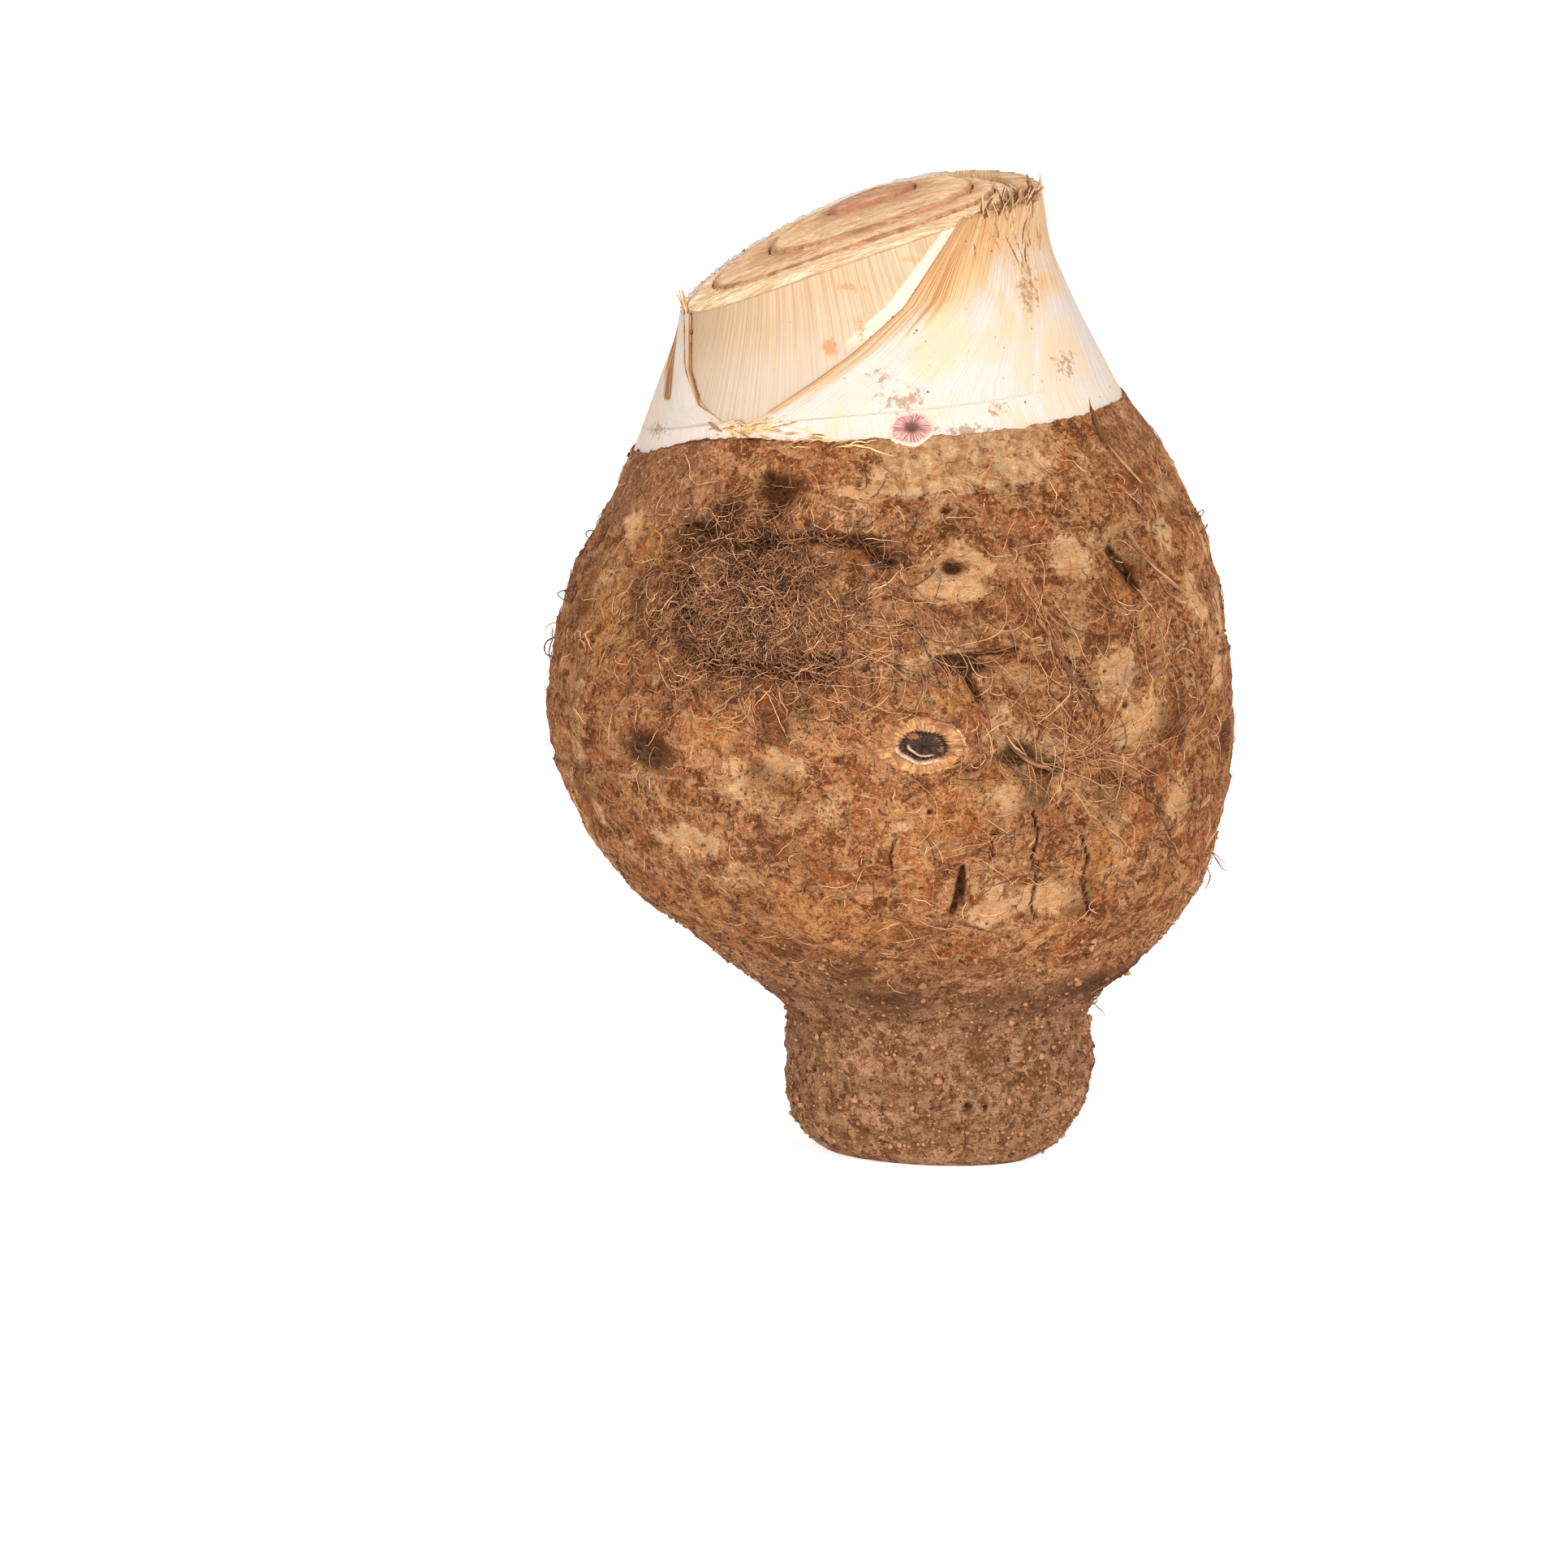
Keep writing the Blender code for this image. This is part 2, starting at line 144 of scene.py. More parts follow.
def step(value, low, high):
    """0 below low, 1 above high and smooth between."""
    t = np.clip((value - low) / (high - low), 0.0, 1.0)
    return t * t * (3.0 - 2.0 * t)


def bell(away, width=1.0):
    """1 at 0, falling off smoothly within the width."""
    return np.exp(-((away / width) ** 2))


GRADIENT = unit(np.random.default_rng(5).normal(size=(256, 3)))
SHUFFLE = np.random.default_rng(6).permutation(256)


def noise(points, scale, seed=0):
    """Smooth random values, about -1 to 1, over points in mm, with features about 1 / scale mm wide."""
    p = np.asarray(points, float) * scale + np.array((17.31, 5.77, 29.13)) * (seed + 1)
    cell = np.floor(p).astype(np.int64)
    f = p - cell
    w = f * f * f * (f * (f * 6.0 - 15.0) + 10.0)
    total = np.zeros(p.shape[:-1])
    for corner in np.ndindex(2, 2, 2):
        c = cell + corner
        pick = SHUFFLE[(SHUFFLE[(SHUFFLE[c[..., 0] & 255] + c[..., 1]) & 255] + c[..., 2]) & 255]
        share = np.prod(np.where(np.array(corner) == 1, w, 1.0 - w), axis=-1)
        total += share * ((f - corner) * GRADIENT[pick]).sum(axis=-1)
    return 1.7 * total


def layered(points, scale, octaves, seed=0, rough=0.5):
    """Noise in octaves, each twice as fine."""
    total = 0.0
    size = 1.0
    for octave in range(octaves):
        total = total + size * noise(points, scale * 2.0**octave, seed + 7 * octave)
        size *= rough
    return total


def spot(points, centre, sizes):
    """A soft round spot, 1 in the middle, at a place given as x, y, z with half sizes in mm."""
    away = (points - np.array(centre)) / np.array(sizes)
    return np.exp(-(away * away).sum(axis=-1))


def spots(points, places, height, least=0.0):
    """The highest of many spots of one height, and at least some value."""
    for place in places:
        least = np.maximum(least, height * spot(points, place[:3], place[3:]))
    return least


def near_path(points, path, width):
    """How near points are to a path of x and height over the front: 1 on it, less within width mm."""
    best = np.full(points.shape[:-1], 1e9)
    flat = points[..., (0, 2)]
    for a, b in zip(np.array(path[:-1], float), np.array(path[1:], float)):
        along = np.clip(((flat - a) @ (b - a)) / ((b - a) @ (b - a)), 0.0, 1.0)
        best = np.minimum(best, np.linalg.norm(flat - (a + along[..., None] * (b - a)), axis=-1))
    return bell(best, width) * step(-points[..., 1], 0.0, 12.0)


def reach_along(path):
    """The distance along a path at each of its points."""
    return np.concatenate(([0.0], np.cumsum(np.linalg.norm(np.diff(path, axis=0), axis=1))))


def smoothed(path, times):
    """A path with its inner points drawn towards their neighbours."""
    for _ in range(times):
        path[1:-1] = 0.25 * path[:-2] + 0.5 * path[1:-1] + 0.25 * path[2:]
    return path


# ---------------------------------------------------------------- meshes

def mesh_object(name, points, faces, attributes=None, material=None):
    """An object from points in metres and faces of equal size, with float attributes on its points."""
    faces = np.asarray(faces, np.int32)
    data = bpy.data.meshes.new(name)
    data.vertices.add(len(points))
    data.vertices.foreach_set("co", np.asarray(points, np.float32).ravel())
    data.loops.add(faces.size)
    data.loops.foreach_set("vertex_index", faces.ravel())
    data.polygons.add(len(faces))
    data.polygons.foreach_set("loop_start", np.arange(0, faces.size, faces.shape[1], dtype=np.int32))
    data.update(calc_edges=True)
    data.validate()
    for key, values in (attributes or {}).items():
        values = np.asarray(values, np.float32)
        kind, field = ("FLOAT", "value") if values.ndim == 1 else ("FLOAT_VECTOR", "vector")
        data.attributes.new(key, kind, "POINT").data.foreach_set(field, values.ravel())
    data.shade_smooth()
    data.materials.append(material)
    thing = bpy.data.objects.new(name, data)
    bpy.context.scene.collection.objects.link(thing)
    return thing


def grid_faces(rows, columns, wrap_columns, wrap_rows=False):
    """Quads over a grid of points, closed on itself across the columns or the rows."""
    i = np.arange(rows if wrap_rows else rows - 1)
    j = np.arange(columns if wrap_columns else columns - 1)
    i, j = np.meshgrid(i, j, indexing="ij")
    k = (i + 1) % rows
    m = (j + 1) % columns
    quads = np.stack((i * columns + j, i * columns + m, k * columns + m, k * columns + j), axis=-1)
    return quads.reshape(-1, 4)


def split(quads):
    """Two triangles from each quad."""
    return np.concatenate((quads[:, (0, 1, 2)], quads[:, (0, 2, 3)]))


def capped(rows, columns):
    """Triangles over a grid closed across its columns, with a fan over its first row and its last."""
    k = np.arange(1, columns - 1)
    fan = np.stack((0 * k, k + 1, k), axis=-1)
    return np.concatenate((split(grid_faces(rows, columns, True)), fan, fan[:, ::-1] + (rows - 1) * columns))


def grid_normals(points):
    """Normals of a closed grid that turns counter-clockwise with its columns and climbs with its rows."""
    around = np.roll(points, -1, axis=1) - np.roll(points, 1, axis=1)
    return unit(np.cross(around, np.gradient(points, axis=0)))


def tubes(name, paths, radii, sides, tone, material):
    """Closed tubes: paths is tubes x points x 3, radii is tubes x points, and tone is one a tube."""
    count, steps, _ = paths.shape
    ahead = unit(np.gradient(paths, axis=1))
    helper = np.where(np.abs(ahead[..., 2:3]) > 0.9, np.array((1.0, 0.0, 0.0)), np.array((0.0, 0.0, 1.0)))
    side = unit(np.cross(ahead, helper))
    up = np.cross(side, ahead)
    turn = TURN * np.arange(sides) / sides
    ring = side[:, :, None] * np.cos(turn)[:, None] + up[:, :, None] * np.sin(turn)[:, None]
    points = paths[:, :, None] + ring * radii[:, :, None, None]
    faces = capped(steps, sides)[None] + (np.arange(count) * steps * sides)[:, None, None]
    tones = {"tone": np.repeat(tone, steps * sides, axis=0)}
    return mesh_object(name, points.reshape(-1, 3), faces.reshape(-1, 3), tones, material)


# ---------------------------------------------------------------- materials

class Field:
    """A number or colour over a surface: one node's output, with arithmetic that makes further nodes."""

    def __init__(self, surface, socket):
        self.surface = surface
        self.socket = socket

    def __add__(self, other):
        return self.surface.math("ADD", self, other)

    def __sub__(self, other):
        return self.surface.math("SUBTRACT", self, other)

    def __mul__(self, other):
        return self.surface.math("MULTIPLY", self, other)


class Surface:
    """A node material under construction around one Principled shader."""

    def __init__(self, name, roughness, specular, **settings):
        self.material = bpy.data.materials.new(name)
        self.material.use_nodes = True
        self.tree = self.material.node_tree
        self.shader = self.tree.nodes["Principled BSDF"]
        for key, value in {"Roughness": roughness, "Specular IOR Level": specular, **settings}.items():
            self.shader.inputs[key.replace("_", " ")].default_value = value
        self.where = Field(self, self.tree.nodes.new("ShaderNodeTexCoord").outputs["Object"])
        self.colour = None

    def node(self, kind, out, inputs, **settings):
        """A new node with its settings and inputs, as the field that one of its outputs gives."""
        node = self.tree.nodes.new(f"ShaderNode{kind}")
        for key, value in settings.items():
            setattr(node, key, value)
        for key, value in inputs.items():
            self.put(node.inputs[key], value)
        return Field(self, node.outputs[out])

    def put(self, socket, value):
        """Links a field to a socket, or sets the socket to a number or colour."""
        if isinstance(value, Field):
            self.tree.links.new(value.socket, socket)
        else:
            socket.default_value = (*value, 1.0) if socket.type == "RGBA" else value

    def noise(self, scale, detail=5.0, rough=0.6, twist=0.0, where=None):
        """Fine noise with features about 1 / scale metres wide."""
        inputs = {"Vector": where or self.where, "Scale": scale, "Detail": detail, "Roughness": rough}
        return self.node("TexNoise", "Fac", {**inputs, "Distortion": twist})

    def stretched(self, factors, vector=None):
        return self.node("VectorMath", "Vector", {0: vector or self.where, 1: factors}, operation="MULTIPLY")

    def grain(self, factors, detail, rough, twist=0.0, vector=None):
        """Noise at a scale of its own along each direction."""
        return self.noise(1.0, detail, rough, twist, self.stretched(factors, vector))

    def attribute(self, name, out="Fac"):
        return self.node("Attribute", out, {}, attribute_name=name)

    def math(self, operation, a, b):
        return self.node("Math", 0, {0: a, 1: b}, operation=operation)

    def span(self, value, low, high, out_low=0.0, out_high=1.0):
        """Value taken smoothly from low..high to out_low..out_high."""
        inputs = {"Value": value, "From Min": low, "From Max": high, "To Min": out_low, "To Max": out_high}
        return self.node("MapRange", "Result", inputs, interpolation_type="SMOOTHSTEP")

    def edge(self, name, rag, amount, low, high):
        """A mask by name with a crisp ragged edge: the mask plus some noise, stepped."""
        return self.span(self.attribute(name) + (rag - 0.5) * amount, low, high)

    def blend(self, factor, a, b):
        return self.node("Mix", 2, {0: factor, 6: a, 7: b}, data_type="RGBA")

    def two(self, value, low, high, a, b):
        """Colour a where the value is low, b where it is high."""
        return self.blend(self.span(value, low, high), a, b)

    def paint(self, mask, colour):
        """Lays a colour over what is there so far, as strongly as the mask says."""
        self.colour = self.blend(mask, self.colour, colour)

    def finish(self, height=None, distance=0.0, strength=1.0, roughness=None):
        """The material, with bump from a height in steps of distance metres."""
        self.put(self.shader.inputs["Base Color"], self.colour)
        if height:
            inputs = {"Height": height, "Distance": distance, "Strength": strength}
            self.put(self.shader.inputs["Normal"], self.node("Bump", "Normal", inputs))
        if roughness:
            self.put(self.shader.inputs["Roughness"], roughness)
        return self.material


def skin_material():
    """Rough brown skin: mottled, with peeled pale and orange patches, dark patches, painted shade in its
    hollows and in the pits of its grain, and pale leaf scars.
    """
    s = Surface("skin_brown", 0.9, 0.04)
    broad = s.noise(85, 5, 0.6, 0.5)
    middle = s.noise(300, 6, 0.7, 0.6)
    fine = s.noise(1150, 5, 0.75, 0.3)
    grain = s.noise(3300, 3, 0.65)
    other = s.noise(140, 6, 0.7, 0.8, s.stretched((1, 1, 1.7)))
    streaks = s.grain((800, 800, 170), 6, 0.7, 0.8)
    weave = s.grain((420, 420, 1500), 6, 0.75, 1.8)
    rag = broad * 0.3 + (middle * 0.4 + fine * 0.3)
    s.colour = s.two(middle, 0.45, 0.55, (0.26, 0.076, 0.021), (0.64, 0.23, 0.08))
    s.paint(s.span(other, 0.5, 0.56, 0, 0.75), (0.86, 0.41, 0.175))
    s.paint(s.span(broad, 0.53, 0.6, 0, 0.7), (0.56, 0.15, 0.038))
    s.paint(s.span(streaks, 0.54, 0.61, 0, 0.7), (0.14, 0.038, 0.01))
    smooth = s.two(middle, 0.4, 0.6, (0.35, 0.13, 0.054), (0.54, 0.23, 0.105))
    s.paint(s.span(s.attribute("smooth"), 0.2, 0.9, 0, 0.85), smooth)
    s.paint(s.attribute("knob") * 0.85, s.two(middle, 0.44, 0.56, (0.34, 0.13, 0.052), (0.9, 0.48, 0.26)))
    orange = s.two(middle, 0.38, 0.6, (0.56, 0.165, 0.036), (0.9, 0.4, 0.13))
    s.paint(s.edge("orange", rag, 3.0, 0.35, 0.75) * 0.85, orange)
    halo = s.two(middle, 0.4, 0.6, (0.62, 0.26, 0.09), (0.88, 0.47, 0.21))
    s.paint(s.edge("pale", rag, 2.0, 0.1, 0.5) * 0.65, halo)
    s.paint(s.span(fine, 0.56, 0.62, 0, 0.75), (0.96, 0.57, 0.31))
    hairy = s.span(weave, 0.48, 0.64) * s.attribute("hairy")
    s.paint(hairy * 0.55, (0.7, 0.33, 0.145))
    fissures = s.node("TexVoronoi", "Distance", {"Vector": s.stretched((190, 190, 80)), "Scale": 1.0},
                      feature="DISTANCE_TO_EDGE")
    fissure = s.span(fissures + fine * 0.06, 0.03, 0.075, 1, 0) * s.attribute("cracked")
    fissure = fissure * s.span(other, 0.48, 0.6)
    s.paint(fissure * 0.55, (0.05, 0.015, 0.005))
    # Dark specks where the fine grain and the finest grain run low, as the bump does: painted shade in the
    # grain's pits.
    s.paint(s.span(fine, 0.37, 0.44, 0.9, 0), (0.07, 0.017, 0.005))
    s.paint(s.span(grain, 0.34, 0.42, 0.8, 0), (0.06, 0.016, 0.005))
    s.paint(s.span(grain, 0.6, 0.7, 0, 0.4), (0.86, 0.52, 0.29))
    tan = s.two(middle, 0.38, 0.6, (0.72, 0.32, 0.125), (1.0, 0.6, 0.3))
    tan = s.blend(s.span(fine, 0.3, 0.45, 0.8, 0), tan, (0.26, 0.09, 0.03))
    s.paint(s.edge("tan", rag, 2.4, 0.35, 0.75), tan)
    pale = s.two(middle, 0.4, 0.6, (0.92, 0.44, 0.18), (1.0, 0.58, 0.29))
    peeled = s.edge("pale", rag, 3.4, 0.46, 0.6)
    s.paint(peeled, s.blend(s.span(fine, 0.34, 0.46, 0.55, 0), pale, (0.42, 0.16, 0.055)))
    s.paint(s.edge("scar", rag, 2.2, 0.45, 0.8) * 0.75, (0.76, 0.46, 0.27))
    # More painted shade in the pits of the finest grain.
    s.paint(s.span(grain, 0.3, 0.4, 0.6, 0), (0.16, 0.05, 0.016))
    # The dark mask: the skin's own dark patches and tangle, and painted shade in its hollows, grooves and
    # scar pits, over the knob and in the fold above it.
    dark = s.two(fine, 0.36, 0.66, (0.012, 0.003, 0.001), (0.15, 0.048, 0.016))
    s.paint(s.edge("dark", rag, 2.6, 0.25, 0.8) * 0.9, dark)
    height = middle * 0.9 + fine * 0.9 + grain * 0.45 + streaks * 0.5 + hairy * 0.6
    return s.finish(height - fissure * 0.5 - peeled * 0.3, 0.0027, 1.0, s.span(fine, 0.3, 0.7, 0.7, 0.95))


def stalk_material():
    """The outer leaf base: white to cream with fine lines along it, tan towards the top and its free edge."""
    s = Surface("stalk_cream", 0.5, 0.3)
    flow = s.attribute("flow", "Vector")
    lines = s.grain((2600, 26, 1), 5, 0.7, 0, flow)
    coarse = s.grain((520, 14, 1), 5, 0.6, 0, flow)
    cloud = s.noise(55, 6, 0.6, 0.6)
    dirt = s.noise(700, 5, 0.75)
    s.colour = s.two(lines, 0.35, 0.7, (0.5, 0.41, 0.35), (0.545, 0.475, 0.415))
    s.paint(s.span(cloud, 0.46, 0.64, 0, 0.75), (0.57, 0.405, 0.245))
    tan = s.two(lines, 0.4, 0.6, (0.43, 0.215, 0.08), (0.6, 0.395, 0.205))
    s.paint(s.edge("tan", coarse * 0.5 + cloud * 0.5, 2.2, 0.25, 0.95), tan)
    margin = s.two(lines, 0.42, 0.58, (0.3, 0.125, 0.038), (0.56, 0.32, 0.14))
    s.paint(s.edge("margin", coarse, 2.0, 0.25, 0.95) * 0.85, margin)
    s.paint(s.edge("soil", dirt, 2.6, 0.66, 0.86) * 0.7, (0.26, 0.125, 0.05))
    s.paint(s.span(dirt, 0.68, 0.73, 0, 0.75), (0.26, 0.13, 0.055))
    brown = s.two(lines, 0.4, 0.6, (0.18, 0.065, 0.02), (0.48, 0.22, 0.075))
    s.paint(s.edge("brown", coarse, 0.9, 0.35, 0.65), brown)
    return s.finish(lines + coarse * 1.6, 0.0003, 1.0, s.span(lines, 0.3, 0.7, 0.42, 0.6))


def window_material():
    """The second leaf base: smooth greyish cream with close fine lines and a clean pale strip by the edge."""
    s = Surface("stalk_greyish", 0.42, 0.35)
    flow = s.attribute("flow", "Vector")
    lines = s.grain((1500, 18, 1), 4, 0.6, 0, flow)
    coarse = s.grain((330, 16, 1), 5, 0.6, 0, flow)
    cloud = s.noise(85, 5, 0.6)
    dirt = s.noise(620, 5, 0.75)
    s.colour = s.two(lines, 0.38, 0.6, (0.385, 0.28, 0.19), (0.44, 0.335, 0.24))
    upper = s.two(lines, 0.38, 0.6, (0.34, 0.21, 0.105), (0.42, 0.285, 0.165))
    s.paint(s.edge("upper", coarse * 0.5 + cloud * 0.5, 1.8, 0.25, 1.1), upper)
    s.paint(s.span(coarse, 0.56, 0.68, 0, 0.35), (0.46, 0.285, 0.15))
    s.paint(s.edge("strip", coarse, 0.3, 0.3, 0.7), (0.58, 0.43, 0.32))
    s.paint(s.edge("stain", dirt, 2.4, 0.5, 0.9) * 0.8, (0.4, 0.165, 0.05))
    s.paint(s.span(dirt, 0.67, 0.72, 0, 0.75), (0.28, 0.135, 0.052))
    s.paint(s.attribute("cut"), flesh_colour(s))
    return s.finish(lines * 0.9 + coarse + s.attribute("cut") * s.noise(900, 6, 0.7), 0.00022, 0.9)


def flesh_colour(s):
    """The cut face: pale cream, brushed with brown along the knife's way, browned at each leaf's edge."""
    swipe = s.grain((75, 700, 330), 6, 0.7, 0.5)
    patch = s.noise(150, 6, 0.65)
    speck = s.noise(900, 5, 0.7)
    flesh = s.two(swipe, 0.42, 0.58, (0.56, 0.31, 0.14), (0.86, 0.65, 0.42))
    flesh = s.blend(s.span(patch, 0.5, 0.66, 0, 0.55), flesh, (0.82, 0.52, 0.27))
    flesh = s.blend(s.span(speck, 0.6, 0.7, 0, 0.8), flesh, (0.4, 0.17, 0.06))
    flesh = s.blend(s.edge("browned", swipe, 3.6, 0.4, 0.85) * 0.85, flesh, (0.38, 0.155, 0.058))
    rim = s.two(swipe, 0.4, 0.6, (0.22, 0.08, 0.026), (0.48, 0.21, 0.08))
    return s.blend(s.edge("rim", patch, 1.6, 0.35, 0.95) * 0.85, flesh, rim)


def flesh_material(name, tint=None):
    """The cut face of an inner leaf base, tinted where the leaf has a colour of its own."""
    s = Surface(name, 0.62, 0.3)
    s.colour = flesh_colour(s)
    if tint:
        s.paint(s.span(s.noise(260, 5, 0.65), 0.3, 0.7, 0.55, 0.95), tint)
    return s.finish(s.noise(420, 6, 0.7) + s.grain((120, 1500, 700), 5, 0.7, 0.3), 0.0005, 0.9)


def fibre_material(name, dark, light, roughness=0.75):
    """Dry fibre whose colour changes from hair to hair and along each one."""
    s = Surface(name, roughness, 0.3)
    s.colour = s.two(s.attribute("tone") + (s.noise(420, 4) - 0.5) * 0.8, 0.1, 0.9, dark, light)
    return s.finish(s.noise(2400, 4, 0.7), 0.0002, 0.8)


def crumb_material():
    """Dark soil."""
    s = Surface("soil", 0.95, 0.1)
    s.colour = s.two(s.noise(500, 4), 0.35, 0.65, (0.06, 0.025, 0.012), (0.23, 0.11, 0.055))
    return s.finish(s.noise(1500, 5, 0.7), 0.0004, 0.9)


def bud_material():
    """Pink bud with darker lines that run out from its brown middle."""
    s = Surface("bud_skin_pink", 0.5, 0.35)
    rays = s.grain((9, 1.2, 1), 5, 0.65, 0, s.attribute("polar", "Vector"))
    middle = s.attribute("middle")
    s.colour = s.two(rays, 0.42, 0.58, (0.25, 0.075, 0.075), (0.64, 0.34, 0.28))
    s.paint(s.span(middle, 0.12, 0.6), (0.13, 0.055, 0.04))
    s.paint(s.span(middle, 0, 0.03, 0.6, 0), (0.84, 0.66, 0.5))
    return s.finish(rays, 0.0003, 0.8)


def eye_material():
    """The dormant bud: an orange-tan bed of old scales round a hollow darkened with painted shade."""
    s = Surface("eye_scales", 0.7, 0.3)
    rays = s.grain((12, 3, 1), 5, 0.7, 0.2, s.attribute("polar", "Vector"))
    rough = s.noise(800, 6, 0.7)
    middle = s.noise(300, 6, 0.7, 0.6)
    s.colour = s.two(rays, 0.4, 0.6, (0.3, 0.115, 0.04), (0.62, 0.32, 0.125))
    s.paint(s.span(middle, 0.46, 0.6, 0, 0.8), (0.21, 0.075, 0.028))
    s.paint(s.edge("pale", rough, 1.0, 0.35, 0.75), s.blend(rough, (0.56, 0.34, 0.2), (0.86, 0.66, 0.47)))
    # The dark mask is painted shade in the hollow and along the inside of the rim on the right.
    dark = s.two(rays, 0.4, 0.65, (0.012, 0.004, 0.003), (0.16, 0.08, 0.055))
    s.paint(s.edge("dark", rays, 0.8, 0.3, 0.6), dark)
    skin = s.two(middle, 0.38, 0.62, (0.22, 0.075, 0.027), (0.42, 0.165, 0.066))
    s.paint(s.edge("fade", middle, 2.0, 0.2, 0.8), skin)
    s.paint(s.span(rough, 0.32, 0.44, 0.75, 0), (0.07, 0.022, 0.009))
    return s.finish(rough + rays, 0.0007, 0.9)


# ---------------------------------------------------------------- the corm and its skin

FRONT_COLUMNS = 0.9  # how much closer together the columns stand at the front than at the back
CORM_COLUMNS = 436
CORM_ROWS = 205
PEELED = (  # places where the outer skin has come away: x, y, z and half sizes
    (36.2, -49.7, 130.7, 5.5, 6, 5.5), (45.2, -50.1, 107.8, 5, 7, 5.5), (50.2, -47.4, 97.5, 7, 8, 5),
    (56.8, -17.7, 141, 5, 7, 2.2), (61.6, -26.4, 121.2, 3, 6, 6.5), (66, -19, 104, 3, 7, 4),
    (31.5, -52, 62.5, 9, 8, 3.6), (24.7, -62.1, 84.9, 6, 6, 3.2), (13.3, -60.2, 127, 5.8, 6, 3.2),
    (13.8, -55, 133.5, 3.2, 6, 2.6), (20.5, -55, 60, 5, 8, 4), (27, -60.5, 90.5, 3, 5, 1.4),
    (-52, -28.2, 134.7, 3, 7, 4), (-6.5, -50.7, 144.6, 5, 5, 1.8), (57, -33, 80, 3.5, 7, 5),
    (-30, 50, 96, 9, 9, 6), (40, 46, 118, 8, 9, 7), (60, 20, 78, 6, 9, 6),
    (-58, 20, 112, 6, 8, 8), (5, 62, 76, 10, 9, 5), (-62, -14, 84, 5, 8, 6),
    (-40, -48, 74, 8, 8, 4), (-20, -60, 92, 6, 6, 3),
)
ORANGE = (
    (-1.5, -65.5, 97, 5, 5, 2.6), (-55, -36, 116, 9, 12, 14), (-50, -38, 132, 6, 9, 5),
    (29.9, -46.8, 54.4, 7.5, 8, 3.6), (21.4, -64.1, 88.6, 4.5, 5, 3.4), (58.9, -36, 79.2, 3.6, 6, 4.5),
    (-14.2, -60.4, 121.5, 8, 6, 4), (-59.2, -27.1, 122.9, 6, 10, 12), (37, -51, 70, 6, 6, 3),
    (12, -63, 105, 6, 5, 3.6), (33, -58.5, 100, 4, 5, 3), (46, -44, 122, 5, 6, 4),
    (-30, 58, 108, 12, 8, 8), (30, 58, 92, 12, 8, 7), (66, 10, 110, 5, 12, 9),
    (-66, 14, 96, 6, 12, 7), (-34, -56, 98, 8, 7, 5),
)
# Dark patches of skin: x, y, z and half sizes. Most of those at the front lie on its hollows, along its
# grooves and under the lower root, where they are painted shade; the rest are the skin's own dark.
DARK_PATCHES_AND_SHADE = (
    (-38.9, -42.7, 134.8, 6.5, 8, 5.5), (-32.3, -43.1, 140, 6, 7, 4), (-22.4, -46.5, 144.6, 7, 6, 3.6),
    (-25.7, -49.4, 135.3, 8, 7, 3.4), (-6.1, -56.1, 135.2, 8, 6, 1.6), (-35.4, -55.5, 111.8, 9, 8, 4.5),
    (-19, -61.8, 110.5, 10, 6, 3.6), (-40.4, -46.7, 122, 4.5, 8, 8), (14.2, -59.4, 65.6, 1.2, 5, 4),
    (25.5, -62.4, 93.2, 4.5, 5, 2.6), (31, -60, 90.2, 4, 5, 1.8), (-1.3, -58.3, 131.8, 3.5, 5, 2.4),
    (15.5, -63.5, 111, 6, 5, 2), (12.6, -59, 130.3, 2.6, 4, 1.8), (47, -38, 126, 3, 6, 4),
    (66.5, -15, 90, 3, 6, 6), (-50, -36, 118, 3, 6, 8),
    (20, 60, 126, 12, 9, 5), (-44, 40, 126, 9, 9, 6), (52, 36, 98, 8, 9, 4),
    (-16, 62, 104, 8, 8, 5), (-56, 34, 70, 9, 9, 5), (-46, -46, 92, 9, 8, 5),
)
HAIRY = ((-22, -54, 124, 19, 14, 14), (-20, -60, 108, 16, 9, 7), (30, -58, 96, 14, 9, 8),
         (10, -62, 116, 14, 8, 9), (-30, 54, 118, 20, 14, 16), (50, 40, 84, 16, 16, 12))
GROOVES = (  # paths of x and height, width and depth
    (((-27, 134.6), (-16, 136.2), (-6, 135.2), (-1, 131.4)), 1.3, 1.6),
    (((-41, 137), (-34, 134.5), (-27, 134.6)), 1.8, 1.8),
    (((-25, 147), (-22, 143), (-24, 140)), 1.8, 1.4),
    (((-40, 113), (-30, 109.5), (-20, 110.5), (-12, 112)), 1.8, 1.6),
    (((14.6, 70), (14, 65), (12.4, 60)), 0.7, 1.4),
    (((28.4, 81), (29.6, 77), (28.2, 72), (29.6, 66), (28.4, 61), (29.2, 58.5)), 0.32, 0.8),
    (((38, 76), (39.4, 71), (38.6, 66), (40.2, 58)), 0.32, 0.6),
    (((20.6, 77), (19.8, 74), (20.4, 72)), 0.3, 0.5),
    (((16.4, 112.8), (15, 109), (17.5, 104.5)), 0.9, 1.1),
    (((9.4, 112.6), (18, 113.4), (25, 114.2)), 0.7, 0.9),
    (((43.6, 132), (47.5, 127), (50, 124)), 0.9, 0.9),
    (((1, 76), (0, 73), (0.6, 70)), 0.3, 0.5),
    (((34.5, 112), (38, 108), (41, 102), (43, 96)), 0.3, 0.4),
)
